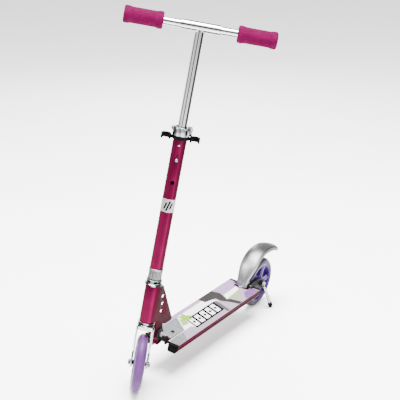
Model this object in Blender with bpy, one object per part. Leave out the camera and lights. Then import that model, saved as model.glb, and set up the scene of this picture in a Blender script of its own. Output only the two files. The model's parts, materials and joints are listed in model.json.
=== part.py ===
"""A child's folding kick scooter with a telescopic T-bar, standing on its kickstand with the bars turned left.

Everything is drawn in millimetres in the frame of the scooter held upright and steered straight ahead: x to the
scooter's left, y to its back, z up, from the ground point below the front axle. Empties carry that frame, the raked
steering frame (x across, y behind the steering axis, z along it) and the axis of every joint. The last step leans
the whole scooter onto its kickstand and centres its box over the origin.
"""
import math

import bmesh
import bpy
import numpy as np
from mathutils import Matrix, Vector
from mathutils.geometry import convex_hull_2d, tessellate_polygon

MM = 0.001
GAP = 0.3                   # between solids that touch

# wheels
WHEEL_R = 72.5              # 145 mm wheels
TYRE_HALF = 14.0            # half the tyre's width, and its tread's radius
TYRE_INNER_R = 57.0
AXLE_R = 3.95
BEARING_R = 11.0
WHEELBASE = 622.0
FORK_HALF = 17.0            # half the gap between the fork's arms
ARM_THICK = 5.0

# steering, with heights along the steering axis from the level of the axle
RAKE = math.radians(7.1)
STEER_REST = math.radians(31.3)
AXIS_BEHIND_AXLE = 13.5
HEAD_LOW = 106.0
HEAD_HIGH = 201.3
HEAD_R = 18.5
HEAD_PLATE = 2.9
STEERER_R = 11.0
COLLAR_LOW = 207.2
STEM_LOW = 245.0
STEM_HIGH = 594.0
STEM_R = 16.3
STEM_WALL = 2.0
STEM_HOLES = (519.0, 464.7)
CLIP_LOW = 568.5
CUP_X = 34.5
CUP_INNER = 9.9
CUP_OUTER = 12.2
CLAMP_LOW = 578.0
CLAMP_MID = 588.0
CLAMP_HIGH = 598.5
LUG_HALF = 12.0
SKEWER_BACK = 25.0
CHROME_R = 11.0
CHROME_LOW = 482.0
BAR_HEIGHT = 834.0
CROSS_HALF = 46.5
CROSS_R = 12.0
BAR_R = 9.8
BAR_WALL = 1.5
BAR_START = 8.0
BAR_END = 176.0
BUTTON_X = 36.0
GRIP_START = 86.5
GRIP_END = 177.5
GRIP_R = 20.5

# deck
DECK_TOP = 89.0
DECK_FRONT = 114.0
DECK_REAR = 550.5
DECK_HALF = 51.0
DECK_FLOOR = 66.5
RAIL_INNER = 21.0
PLATE_THICK = 2.5
CENTRE_REAR = 527.0         # where the plate between the rails stops, to clear the rear wheel
SHEET_THICK = 0.9
HINGE_SCREW_Y = 164.0
COVER_HALF = 16.2
COVER_REAR = 188.0
PLUG_SCREW = (27.0, 537.0)

# fold
PIVOT = (80.0, 124.0)       # y and z of the fold's pivot
EAR_NEAR = 8.6
EAR_FAR = 11.6
TONGUE_HALF = 8.0
CAM_R = 6.5
FOLD_LEVER_LEAN = math.radians(52)

# rear
BRACKET_NEAR = 17.0
BRACKET_FAR = 20.0
BRAKE_PIVOT = (541.0, 93.0)
FENDER_THICK = 1.8
KICK_PLATE_FAR = 23.4
KICK_PIVOT = (27.0, 607.0, 81.0)
KICK_TILT = math.radians(9.9)
KICK_FOOT = (14.0, 18.0, -70.6)     # the foot's centre from the pivot, in the kickstand's frame
FOOT_R = 6.4

ROUND = 16                  # sides of a small round piece
FINE = 24                   # sides of a tube
WIDE = 32                   # sides of a wheel


def clear_scene():
    for obj in list(bpy.data.objects):
        bpy.data.objects.remove(obj, do_unlink=True)


LOOKS = {
    "magenta_paint": ((0.42, 0.02, 0.13), 0.3, 0.5),
    "chrome_plate": ((0.85, 0.86, 0.87), 0.08, 1.0),
    "silver_metal": ((0.62, 0.63, 0.65), 0.3, 1.0),
    "zinc_steel": ((0.5, 0.5, 0.52), 0.35, 1.0),
    "dark_steel": ((0.03, 0.03, 0.035), 0.4, 0.6),
    "black_plastic": ((0.02, 0.02, 0.022), 0.45, 0.0),
    "magenta_foam": ((0.45, 0.02, 0.2), 0.85, 0.0),
    "printed_grip": ((0.6, 0.55, 0.6), 0.8, 0.0),
    "lavender_urethane": ((0.38, 0.27, 0.62), 0.3, 0.0),
    "grey_urethane": ((0.42, 0.4, 0.47), 0.3, 0.0),
    "purple_plastic": ((0.16, 0.06, 0.42), 0.35, 0.0),
}


def material(name):
    found = bpy.data.materials.get(name)
    if found:
        return found
    colour, roughness, metallic = LOOKS[name]
    made = bpy.data.materials.new(name)
    made.use_nodes = True
    shader = made.node_tree.nodes["Principled BSDF"]
    shader.inputs["Base Color"].default_value = (*colour, 1.0)
    shader.inputs["Roughness"].default_value = roughness
    shader.inputs["Metallic"].default_value = metallic
    return made


def empty(name, parent, matrix):
    made = bpy.data.objects.new(name, None)
    bpy.context.scene.collection.objects.link(made)
    made.parent = parent
    made.matrix_basis = matrix
    return made


def at(x, y, z):
    return Matrix.Translation(Vector((x, y, z)) * MM)


def finished(name, shape, parent):
    """Makes an object of a bmesh drawn in millimetres in its parent's frame."""
    bmesh.ops.recalc_face_normals(shape, faces=shape.faces)
    bmesh.ops.scale(shape, verts=shape.verts, vec=(MM, MM, MM))
    mesh = bpy.data.meshes.new(name)
    shape.to_mesh(mesh)
    shape.free()
    mesh.shade_smooth()
    mesh.set_sharp_from_angle(angle=math.radians(35))
    made = bpy.data.objects.new(name, mesh)
    bpy.context.scene.collection.objects.link(made)
    made.parent = parent
    return made


def piece(name, shape, parent, look):
    made = finished(name, shape, parent)
    made.data.materials.append(material(look))
    return made


def boolean(target, shape, operation):
    tool = finished(f"{target.name}_{operation.lower()}_{len(target.modifiers)}", shape, target.parent)
    tool.hide_render = True
    tool.display_type = "WIRE"
    change = target.modifiers.new(tool.name, "BOOLEAN")
    change.operation = operation
    change.solver = "EXACT"
    change.object = tool


def cut(target, *shapes):
    for shape in shapes:
        boolean(target, shape, "DIFFERENCE")


def join(target, *shapes):
    for shape in shapes:
        boolean(target, shape, "UNION")


AXES = {
    "x": lambda u, v, w: (w, u, v),
    "y": lambda u, v, w: (u, w, v),
    "z": lambda u, v, w: (u, v, w),
}


def prism(outline, low, high, axis="x", holes=()):
    """A flat outline with holes in it, in the two other axes, carried from low to high along an axis."""
    shape = bmesh.new()
    loops = [list(outline)] + [list(hole) for hole in holes]
    triangles = tessellate_polygon([[Vector((u, v, 0)) for u, v in loop] for loop in loops])
    ends = []
    for w in (low, high):
        rings = [[shape.verts.new(AXES[axis](u, v, w)) for u, v in loop] for loop in loops]
        corners = [corner for ring in rings for corner in ring]
        for triangle in triangles:
            shape.faces.new([corners[i] for i in triangle])
        ends.append(rings)
    for near, far in zip(*ends):
        for i in range(len(near)):
            shape.faces.new((near[i - 1], near[i], far[i], far[i - 1]))
    return shape


def box(low, high):
    outline = [(low[1], low[2]), (high[1], low[2]), (high[1], high[2]), (low[1], high[2])]
    return prism(outline, low[0], high[0])


def turned(profile, sides=ROUND, axis="z", centre=(0, 0, 0)):
    """A profile of (radius, height) points spun about an axis. It is a ring unless it reaches radius 0."""
    shape = bmesh.new()
    points = [shape.verts.new((r, 0, h)) for r, h in profile]
    for a, b in zip(points, points[1:] + points[:1]):
        if a.co.x > 0 or b.co.x > 0:
            shape.edges.new((a, b))
    bmesh.ops.spin(shape, geom=list(shape.verts) + list(shape.edges), cent=(0, 0, 0), axis=(0, 0, 1),
                   dvec=(0, 0, 0), angle=2 * math.pi, steps=sides, use_merge=True)
    bmesh.ops.remove_doubles(shape, verts=shape.verts, dist=0.001)
    turn = {"x": Matrix.Rotation(math.pi / 2, 4, "Y"), "y": Matrix.Rotation(-math.pi / 2, 4, "X"), "z": Matrix()}
    bmesh.ops.transform(shape, matrix=Matrix.Translation(centre) @ turn[axis], verts=shape.verts)
    return shape


def rod(radius, low, high, sides=ROUND, axis="z", centre=(0, 0, 0)):
    return turned([(0, low), (radius, low), (radius, high), (0, high)], sides, axis, centre)


def tube(outer, inner, low, high, sides=ROUND, axis="z", centre=(0, 0, 0)):
    return turned([(inner, low), (outer, low), (outer, high), (inner, high)], sides, axis, centre)


def arc(centre, radius, start, end, steps):
    """Points on an arc of a circle, with angles in degrees."""
    angles = np.radians(np.linspace(start, end, steps + 1))
    return [(centre[0] + radius * math.cos(a), centre[1] + radius * math.sin(a)) for a in angles]


def circle(centre, radius, sides=ROUND):
    return arc(centre, radius, 0, 360, sides)[:-1]


def slot(centre, half_length, radius):
    """The outline of a slot with round ends, along the first axis."""
    u, v = centre
    return arc((u + half_length, v), radius, -90, 90, 6) + arc((u - half_length, v), radius, 90, 270, 6)


def rounded(corners, steps=3):
    """An outline of (u, v, radius) corners, each rounded to its radius."""
    outline = []
    for i, (u, v, radius) in enumerate(corners):
        here = Vector((u, v))
        if not radius:
            outline.append((u, v))
            continue
        before = (Vector(corners[i - 1][:2]) - here).normalized()
        after = (Vector(corners[(i + 1) % len(corners)][:2]) - here).normalized()
        half = before.angle(after) / 2
        centre = here + (before + after).normalized() * radius / math.sin(half)
        first = here + before * radius / math.tan(half) - centre
        last = here + after * radius / math.tan(half) - centre
        start = math.atan2(first.y, first.x)
        sweep = (math.atan2(last.y, last.x) - start + math.pi) % (2 * math.pi) - math.pi
        outline += arc(centre, radius, math.degrees(start), math.degrees(start + sweep), steps)
    return outline


def smooth(points, steps=4):
    """A smooth line through the given points."""
    line = [Vector(p) for p in points]
    line = [2 * line[0] - line[1]] + line + [2 * line[-1] - line[-2]]
    result = []
    for a, b, c, d in zip(line, line[1:], line[2:], line[3:]):
        for i in range(steps):
            t = i / steps
            result.append(0.5 * (2 * b + (c - a) * t + (2 * a - 5 * b + 4 * c - d) * t ** 2
                                 + (3 * b - a - 3 * c + d) * t ** 3))
    return result + [line[-2]]


def band(line, half):
    """The outline of a strip along a flat line."""
    near, far = [], []
    for i, here in enumerate(line):
        along = (line[min(i + 1, len(line) - 1)] - line[max(i - 1, 0)]).normalized()
        across = Vector((-along.y, along.x)) * half
        near.append(tuple(here + across))
        far.append(tuple(here - across))
    return near + far[::-1]


def swept(path, radius, sides):
    """A round bar along a path."""
    shape = bmesh.new()
    rings = []
    side = Vector((0, 1, 0.01))
    for i, here in enumerate(path):
        along = (path[min(i + 1, len(path) - 1)] - path[max(i - 1, 0)]).normalized()
        side = (side - along * side.dot(along)).normalized()
        other = along.cross(side)
        angles = [2 * math.pi * k / sides for k in range(sides)]
        rings.append([shape.verts.new(here + radius * (math.cos(a) * side + math.sin(a) * other)) for a in angles])
    for near, far in zip(rings, rings[1:]):
        for k in range(sides):
            shape.faces.new((near[k - 1], near[k], far[k], far[k - 1]))
    shape.faces.new(rings[0])
    shape.faces.new(rings[-1])
    bmesh.ops.triangulate(shape, faces=[f for f in shape.faces if len(f.verts) > 4])
    return shape


def mirrored(outline):
    return [(-u, v) for u, v in outline]


def hex_nut(name, frame, centre, low, high, look):
    bore = circle(centre, AXLE_R + 0.2, ROUND)
    piece(name, prism(circle(centre, 6.8, 6), low, high, "x", [bore]), frame, look)


# ---------------------------------------------------------------- deck

def rail_outline(side, inset=0.0):
    """One rail's section in x and z: an upright outer face over a slanted belly."""
    inner, outer = RAIL_INNER + inset, DECK_HALF - inset
    low, top = DECK_FLOOR + inset, DECK_TOP - (PLATE_THICK if inset else 0)
    corners = [(inner, low + 1.5), (inner + 1.5, low), (outer - 8, low), (outer, 77 + 0.4 * inset), (outer, top),
               (inner, top)]
    return [(side * x, z) for x, z in corners]


def deck_platform(frame):
    """The aluminium extrusion: a flat plate between two hollow rails, with a groove along each outer face."""
    half = [(RAIL_INNER, DECK_TOP - PLATE_THICK), (RAIL_INNER, DECK_FLOOR + 1.5), (RAIL_INNER + 1.5, DECK_FLOOR),
            (DECK_HALF - 8, DECK_FLOOR), (DECK_HALF, 77), (DECK_HALF, 81.6), (DECK_HALF - 0.9, 82.2),
            (DECK_HALF - 0.9, 84.2), (DECK_HALF, 84.8), (DECK_HALF, DECK_TOP - 0.9), (DECK_HALF - 0.9, DECK_TOP)]
    hollows = [rail_outline(1, 2.0), rail_outline(-1, 2.0)]
    section = prism(half + mirrored(half)[::-1], DECK_FRONT, DECK_REAR, "y", hollows)
    deck = piece("deck_platform", section, frame, "magenta_paint")
    cut(deck, box((-13.5, DECK_FRONT - 5, 80), (13.5, 127.5, 95)))
    cut(deck, box((-RAIL_INNER - 0.5, CENTRE_REAR, 80), (RAIL_INNER + 0.5, DECK_REAR + 5, 95)))
    cut(deck, rod(2.9, 80, 95, 12, centre=(0, HINGE_SCREW_Y, 0)))
    for side in (-1, 1):
        cut(deck, rod(2.4, 80, 95, 12, centre=(side * PLUG_SCREW[0], PLUG_SCREW[1], 0)))


def grip_sheet(frame):
    """The printed anti-slip sheet, open round the hinge and its cover, the fender's foot and the rear screws."""
    edge, notch = DECK_HALF - 1.8, RAIL_INNER + 1.4
    front, rear, step = DECK_FRONT + 0.5, DECK_REAR - 1.5, CENTRE_REAR - 9
    side, end = COVER_HALF + 0.6, COVER_REAR + 0.6
    outline = rounded([(-edge, front, 3), (-side, front, 0), (-side, end, 3), (side, end, 3), (side, front, 0),
                       (edge, front, 3), (edge, rear, 3), (notch, rear, 0), (notch, step, 4), (-notch, step, 4),
                       (-notch, rear, 0), (-edge, rear, 3)])
    low = DECK_TOP + GAP
    holes = [circle((side * PLUG_SCREW[0], PLUG_SCREW[1]), 4.4, 12) for side in (-1, 1)]
    piece("grip_sheet", prism(outline, low, low + SHEET_THICK, "z", holes), frame, "printed_grip")


def rail_plugs(frame):
    """Moulded plugs that close the rails' ends. The rear ones take a screw from above."""
    for end, face, inward in (("front", DECK_FRONT, 1), ("rear", DECK_REAR, -1)):
        for side, word in ((1, "left"), (-1, "right")):
            cap = sorted((face - GAP * inward, face - 4.2 * inward))
            plug = piece(f"rail_plug_{end}_{word}", prism(rail_outline(side), *cap, "y"), frame, "black_plastic")
            stub = sorted((face - 2.0 * inward, face + 20 * inward))
            join(plug, prism(rail_outline(side, 2.4), *stub, "y"))
            if end == "rear":
                centre = (side * PLUG_SCREW[0], PLUG_SCREW[1], 0)
                cut(plug, rod(2.2, 66, 95, 12, centre=centre))
                screw = [(0, 74), (1.9, 74), (1.9, 89.4), (4, 89.4), (3.2, 91.2), (1.4, 91.6), (1.4, 90.6), (0, 90.6)]
                piece(f"plug_screw_{word}", turned(screw, 12, centre=centre), frame, "dark_steel")


# ---------------------------------------------------------------- fold

def hinge_bracket(frame):
    """The deck's half of the fold: two ears on a channel screwed up under the plate."""
    ear = arc(PIVOT, 15, -33, 250, 12)
    ear += rounded([(100, 97, 4), (109, 90, 3), (112, 79, 3), (194, 79, 2), (200, 81.5, 2), (200, 85.9, 0),
                    (126.6, 85.9, 0), (126.4, 96, 4), (116, 104.5, 6)])
    bore = [circle(PIVOT, AXLE_R + 0.25, ROUND)]
    bracket = piece("hinge_bracket", prism(ear, EAR_NEAR, EAR_FAR, "x", bore), frame, "dark_steel")
    join(bracket, prism(ear, -EAR_FAR, -EAR_NEAR, "x", bore))
    join(bracket, box((-EAR_NEAR - 1, 117, 83), (EAR_NEAR + 1, 199, 85.85)))
    cut(bracket, rod(2.9, 70, 95, 12, centre=(0, HINGE_SCREW_Y, 0)))


def hinge_cover(frame):
    """The pressed plate over the hinge's channel, round in front, and the screw that holds it."""
    low = DECK_TOP + GAP
    top = low + 2.4
    outline = rounded([(COVER_HALF, COVER_REAR, 3), (-COVER_HALF, COVER_REAR, 3), (-COVER_HALF, 129.5, 14),
                       (COVER_HALF, 129.5, 14)], 6)
    hole = circle((0, HINGE_SCREW_Y), 3.2, 12)
    piece("hinge_cover_plate", prism(outline, low, top, "z", [hole]), frame, "silver_metal")
    screw = [(0, 80), (2.6, 80), (2.6, top + GAP), (5.4, top + GAP), (4.8, top + 2), (2.2, top + 2.6),
             (2.2, top + 1.4), (0, top + 1.4)]
    piece("hinge_screw", turned(screw, 16, centre=(0, HINGE_SCREW_Y, 0)), frame, "dark_steel")


def quick_release(names, frame, shank, profile, half_height, handle, handle_half):
    """A skewer that ends in an eye with a cross pin, and the cam lever that turns about that pin.

    In the lever's frame the pin is along z, the skewer comes from -x and the handle leaves towards -y.
    """
    skewer, lever, looks = names
    bar = piece(skewer, turned(profile + [(shank, -CAM_R - 0.7), (2.4, -CAM_R - 0.7), (2.4, 0), (0, 0)], ROUND, "x"),
                frame, looks[0])
    join(bar, rod(4.4, -2.45, 2.45), rod(2.0, -half_height + 0.4, half_height - 0.4, 16))
    body = piece(lever, rod(CAM_R, -half_height, half_height), frame, looks[1])
    join(body, prism(band(smooth(handle, 3), handle_half), -half_height + 0.6, half_height - 0.6, "z"))
    cut(body, rod(5.0, -2.9, 2.9))
    cut(body, prism([(0, 0)] + arc((0, 0), 11, 35, 215, 8), -2.9, 2.9, "z"))
    cut(body, rod(2.1, -20, 20, 16))


def fold_release(frame):
    """The skewer that the head folds about and that its lever squeezes tight, with its nut on the left."""
    along = Vector((0, math.cos(FOLD_LEVER_LEAN), math.sin(FOLD_LEVER_LEAN)))
    basis = Matrix(((-1, 0, 0), (0, -along.y, -along.z), (0, -along.z, along.y))).transposed().to_4x4()
    out = EAR_FAR + 0.4 + CAM_R
    release = empty("fold_lever_axis", frame, at(-out, *PIVOT) @ basis)
    length = out + 18.2
    profile = [(0, -length), (AXLE_R - 0.6, -length), (AXLE_R, -length + 0.8)]
    handle = [(0, -2), (3.2, -12), (4.2, -26), (4.2, -44), (6.5, -60)]
    names = ("fold_skewer", "fold_lever", ("zinc_steel", "dark_steel"))
    quick_release(names, release, AXLE_R, profile, 6.5, handle, 2.0)
    hex_nut("fold_skewer_nut", frame, PIVOT, 12, 17, "zinc_steel")


def fold_tongue(fold):
    """The head's half of the fold: a tongue from the head tube's back down between the ears, with a toe below."""
    y, z = PIVOT
    outline = [(77, 92, 1), (97, 92, 1.5), (97, 102, 2), (92.5, 112, 4), (95, 122, 8), (95, 139, 4), (92, 152, 4),
               (60, 190, 4), (45.2, 200.3, 0), (42.95, 180.5, 0), (49.5, 179.5, 3), (58, 157, 4), (66.5, 134, 8), (65.5, 117, 6),
               (74, 106, 5)]
    tongue = piece("fold_tongue", prism(rounded([(u - y, v - z, r) for u, v, r in outline]), -TONGUE_HALF,
                                        TONGUE_HALF), fold, "magenta_paint")
    cut(tongue, rod(AXLE_R + 0.1, -20, 20, ROUND, "x"))


# ---------------------------------------------------------------- head

def head_tube(head):
    piece("head_tube", tube(HEAD_R - HEAD_PLATE - GAP, 12.6, HEAD_LOW, HEAD_HIGH, FINE), head, "magenta_paint")


def head_gusset(head):
    """A plate bent round the head tube whose two sides run back over the fold, each with three slots."""
    inner = HEAD_R - HEAD_PLATE
    section = [(HEAD_R, 110)] + arc((0, 0), HEAD_R, 0, -180, 12) + [(-HEAD_R, 110), (-inner, 110)]
    section += arc((0, 0), inner, -180, 0, 12) + [(inner, 110)]
    gusset = piece("head_gusset", prism(section, 80, 205, "z"), head, "magenta_paint")
    side_view = rounded([(-25, HEAD_LOW, 0), (22, HEAD_LOW, 6), (61, 88.7, 10), (96.3, 92.4, 5.5),
                         (19.5, HEAD_HIGH, 0), (-25, HEAD_HIGH, 0)], 4)
    boolean(gusset, prism(side_view, -30, 30), "INTERSECT")
    for centre in ((26.9, 171.1), (30.3, 150.4), (30.8, 130.3)):
        cut(gusset, prism(slot(centre, 1.3, 4.7), -30, 30))


def headset(head):
    """The cups pressed into the head tube's ends, with their bearings."""
    lower = [(11.1, 94), (19.6, 94), (21, 95.4), (21, 98.6), (20.2, 99.4), (20.2, 100.4), (21, 101.2), (21, 104),
             (20, 105.7), (12.3, 105.7), (12.3, 116), (11.1, 116)]
    piece("lower_headset_cup", turned(lower, FINE), head, "silver_metal")
    upper = [(11.1, 191), (12.3, 191), (12.3, 201.6), (20.2, 201.6), (21.4, 202.9), (21.4, 205.4), (20, 206.8),
             (11.1, 206.8)]
    piece("upper_headset_cup", turned(upper, FINE), head, "silver_metal")


# ---------------------------------------------------------------- steering

AXLE_BACK = -AXIS_BEHIND_AXLE * math.cos(RAKE)
AXLE_HIGH = -AXIS_BEHIND_AXLE * math.sin(RAKE)


def fork(steering):
    """The crown and two flat arms, with eyes for the axle."""
    far = FORK_HALF + ARM_THICK
    crown = rounded([(far + 0.3, -14, 6), (far + 0.3, 14, 6), (-far - 0.3, 14, 6), (-far - 0.3, -14, 6)])
    body = piece("fork", prism(crown, 84.5, 93.4, "z"), steering, "silver_metal")
    arm = arc((AXLE_BACK, AXLE_HIGH), 11, 175, 365, 8)
    arm += rounded([(2, 22, 12), (8, 52, 20), (12.5, 90, 0), (-12.5, 90, 0), (-17, 52, 20), (-23, 22, 12)])
    join(body, prism(arm, FORK_HALF, far), prism(arm, -far, -FORK_HALF))
    cut(body, rod(STEERER_R + 0.25, 80, 100, FINE))
    cut(body, rod(AXLE_R + 0.15, -40, 40, ROUND, "x", (0, AXLE_BACK, AXLE_HIGH)))


def steerer(steering):
    """The tube that turns in the headset, thicker where the stem slides over it."""
    profile = [(9, 85), (STEERER_R, 85), (STEERER_R, 246), (13.9, 248), (13.9, 300), (9, 300)]
    piece("steerer_tube", turned(profile, FINE), steering, "zinc_steel")


def front_axle(steering):
    far = FORK_HALF + ARM_THICK
    centre = (0, AXLE_BACK, AXLE_HIGH)
    bolt = [(0, -28), (AXLE_R, -28), (AXLE_R, far + GAP), (6.5, far + GAP), (6.5, far + 4), (5.4, far + 5.4),
            (2.6, far + 5.4), (2.6, far + 3), (0, far + 3)]
    piece("front_axle_bolt", turned(bolt, ROUND, "x", centre), steering, "zinc_steel")
    hex_nut("front_axle_nut", steering, centre[1:], -far - 5.5, -far - GAP, "zinc_steel")


def lower_stem(steering):
    """The painted lower stem with its two height holes in front, and the plastic sleeve in its top."""
    stem = piece("lower_stem_tube", tube(STEM_R, STEM_R - STEM_WALL, STEM_LOW + GAP, STEM_HIGH, FINE), steering,
                 "magenta_paint")
    for height in STEM_HOLES:
        cut(stem, rod(4.8, -25, 0, 16, "y", (0, 0, height)))
    sleeve = tube(STEM_R - STEM_WALL - 0.2, CHROME_R + 0.1, 540, STEM_HIGH + 0.4, FINE)
    piece("stem_sleeve", sleeve, steering, "black_plastic")


def stem_collar(steering):
    """The fluted collar that clamps the stem to the steerer, with three socket bolts round its base."""
    steps = 32
    fluted = [(r * math.cos(a), r * math.sin(a)) for r, a in
              ((16.8 if i % 4 < 2 else 15.7, 2 * math.pi * i / steps) for i in range(steps))]
    inner = STEERER_R + 0.25
    sleeve = [(inner, COLLAR_LOW), (19, COLLAR_LOW), (19, 216.5), (14.6, 216.5), (14.6, 239), (17.6, 239),
              (17.6, STEM_LOW), (inner, STEM_LOW)]
    collar = piece("stem_collar", turned(sleeve, FINE), steering, "silver_metal")
    join(collar, prism(fluted, 216, 240, "z", [circle((0, 0), 13, ROUND)]))
    for angle, word in ((-132, "right"), (-78, "middle"), (-48, "left")):
        turn = Matrix.Rotation(math.radians(angle), 4, "Z")
        hole = rod(3.3, 12.4, 25, 12, "x", (0, 0, 211.9))
        bmesh.ops.transform(hole, matrix=turn, verts=hole.verts)
        cut(collar, hole)
        bolt = turned([(0, 12.8), (3, 12.8), (3, 20), (1.5, 20), (1.5, 18.4), (0, 18.4)], 12, "x", (0, 0, 211.9))
        bmesh.ops.transform(bolt, matrix=turn, verts=bolt.verts)
        piece(f"collar_bolt_{word}", bolt, steering, "dark_steel")


def handle_clip(steering):
    """The moulded clip that keeps pulled-out handles beside the stem: a ring with an open cup on each side."""
    ring = tube(STEM_R + 3.5, STEM_R + GAP, CLIP_LOW, CLIP_LOW + 9, FINE)
    clip = piece("handle_clip", ring, steering, "black_plastic")
    for side in (-1, 1):
        arm = sorted((side * 17, side * (CUP_X - CUP_INNER - 0.8)))
        join(clip, box((arm[0], -3.5, 569), (arm[1], 3.5, 576)))
        outline = arc((side * CUP_X, -2), CUP_OUTER, -42, 222, 10) + arc((side * CUP_X, -2), CUP_INNER, 222, -42, 10)
        join(clip, prism(outline, 566, 579, "z"))


def stem_clamp(steering):
    """The split ring over the stem's top that closes on the chrome tube, and its quick release."""
    inner = STEM_R + GAP
    profile = [(inner, CLAMP_LOW), (20.4, CLAMP_LOW), (21, CLAMP_LOW + 1), (21, CLAMP_HIGH - 6),
               (19.2, CLAMP_HIGH - 1), (18, CLAMP_HIGH), (CHROME_R + 0.6, CLAMP_HIGH), (CHROME_R + 0.6, 595.6),
               (inner, 595.6)]
    clamp = piece("stem_clamp", turned(profile, FINE), steering, "chrome_plate")
    lug = rounded([(inner + 0.1, CLAMP_MID - 8.3, 0), (SKEWER_BACK + 7.4, CLAMP_MID - 8.3, 7),
                   (SKEWER_BACK + 7.4, CLAMP_MID + 8.3, 7), (inner + 0.1, CLAMP_MID + 8.3, 0)])
    join(clamp, prism(lug, -LUG_HALF, LUG_HALF))
    cut(clamp, box((-1.4, 7.7, CLAMP_LOW - 2), (1.4, 45, CLAMP_HIGH + 2)))
    cut(clamp, rod(3.3, -20, 20, 14, "x", (0, SKEWER_BACK, CLAMP_MID)))
    out = LUG_HALF + 0.4 + CAM_R
    release = empty("clamp_lever_axis", steering, at(out, SKEWER_BACK, CLAMP_MID))
    nut = -out - LUG_HALF - GAP
    profile = [(0, nut - 12), (4, nut - 12), (6.4, nut - 10), (6.4, nut), (3, nut)]
    handle = [(0, -1), (4.4, -11), (5.4, -21), (3.6, -32), (-2.4, -42.5), (-6.5, -46.5)]
    names = ("clamp_skewer", "clamp_lever", ("chrome_plate", "chrome_plate"))
    quick_release(names, release, 3.0, profile, 7, handle, 2.0)


# ---------------------------------------------------------------- upper stem and handles

def upper_stem(upper):
    """The chrome T: the telescopic tube welded to the cross tube that the handles plug into."""
    outer, inner = CHROME_R, CHROME_R - 1.6
    profile = [(inner, CHROME_LOW), (outer, CHROME_LOW), (outer, BAR_HEIGHT), (0, BAR_HEIGHT),
               (0, BAR_HEIGHT - CROSS_R - 3), (inner, BAR_HEIGHT - CROSS_R - 3)]
    stem = piece("upper_stem_tube", turned(profile, FINE), upper, "chrome_plate")
    for side in (-1, 1):
        cut(stem, rod(BAR_R + 0.4, *sorted((side * 3.7, side * 30)), 20, "x", (0, 0, BAR_HEIGHT)))
    bore = BAR_R + 0.1
    cross = [(0, -4), (bore, -4), (bore, -CROSS_HALF), (CROSS_R, -CROSS_HALF), (CROSS_R, CROSS_HALF),
             (bore, CROSS_HALF), (bore, 4), (0, 4)]
    join(stem, turned(cross, FINE, "x", (0, 0, BAR_HEIGHT)))
    for side in (-1, 1):
        cut(stem, rod(3.6, -20, 0, 14, "z", (side * BUTTON_X, 0, BAR_HEIGHT)))
    cut(stem, rod(4.0, -20, 0, 14, "y", (0, 0, STEM_HOLES[0])))


def snap_clip(name, frame, radius, tip, leaf):
    """A bent spring strip with a button on it that pokes out through the tube's wall, towards -z."""
    strip = prism([(u, v) for u, v in band(smooth([Vector(p) for p in leaf], 3), 0.4)], -2.9, 2.9, "y")
    clip = piece(name, strip, frame, "silver_metal")
    base = leaf[0][1]
    join(clip, turned([(0, tip), (radius - 1, tip), (radius, tip + 1), (radius, base), (0, base)], 16))


def handle(frame, side, word):
    """One handle: a chrome bar that plugs into the cross tube, with a foam grip on its outer half."""
    profile = [(BAR_R - BAR_WALL, BAR_START), (BAR_R - 0.7, BAR_START), (BAR_R, BAR_START + 1), (BAR_R, BAR_END),
               (BAR_R - BAR_WALL, BAR_END)]
    bar = piece(f"{word}_handle_bar", turned([(r, side * h) for r, h in profile], FINE, "x"), frame, "chrome_plate")
    cut(bar, rod(3.25, -20, 0, 16, "z", (side * BUTTON_X, 0, 0)))
    inner = BAR_R + GAP
    profile = [(inner, GRIP_START), (GRIP_R - 2.6, GRIP_START), (GRIP_R - 0.4, GRIP_START + 2.4),
               (GRIP_R - 0.4, GRIP_START + 13), (GRIP_R - 2.1, GRIP_START + 18), (GRIP_R - 2.4, 133),
               (GRIP_R - 2.1, GRIP_END - 18), (GRIP_R, GRIP_END - 13), (GRIP_R, GRIP_END - 2.6),
               (GRIP_R - 2.6, GRIP_END + 0.6), (0, GRIP_END + 1), (0, BAR_END + GAP), (inner, BAR_END + GAP)]
    piece(f"{word}_grip", turned([(r, side * h) for r, h in profile], FINE, "x"), frame, "magenta_foam")


# ---------------------------------------------------------------- wheels

def wheel(axle, end, tyre_look, hub_look):
    """A cast tyre on a spoked hub that turns on two ball bearings."""
    crown = [(WHEEL_R - TYRE_HALF + TYRE_HALF * math.cos(a), TYRE_HALF * math.sin(a))
             for a in np.radians(np.linspace(-90, 90, 8))]
    profile = crown + [(TYRE_INNER_R + 1, TYRE_HALF), (TYRE_INNER_R, TYRE_HALF - 1), (TYRE_INNER_R, 1 - TYRE_HALF),
                       (TYRE_INNER_R + 1, -TYRE_HALF)]
    piece(f"{end}_tyre", turned(profile, WIDE, "x"), axle, tyre_look)
    windows = []
    for i in range(5):
        turn = 72 * i
        windows.append(arc((0, 0), TYRE_INNER_R - 7, turn + 9, turn + 63, 5) + arc((0, 0), 20, turn + 51, turn + 21, 2))
    windows.append(circle((0, 0), 13, ROUND))
    rim = prism(circle((0, 0), TYRE_INNER_R - GAP, WIDE), -10.5, 10.5, "x", windows)
    hub = piece(f"{end}_hub", rim, axle, hub_look)
    seat = BEARING_R + 0.1
    join(hub, turned([(6.5, -6.7), (seat, -6.7), (seat, -13.6), (15, -13.6), (15, 13.6), (seat, 13.6), (seat, 6.7),
                      (6.5, 6.7)], ROUND, "x"))
    bore = AXLE_R + 0.1
    for side, word in ((1, "left"), (-1, "right")):
        bearing = [(bore, 7), (BEARING_R, 7), (BEARING_R, 14), (6, 14.4), (6, FORK_HALF - GAP),
                   (bore, FORK_HALF - GAP)]
        piece(f"{end}_bearing_{word}", turned([(r, side * h) for r, h in bearing], ROUND, "x"), axle, "zinc_steel")


# ---------------------------------------------------------------- rear

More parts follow.
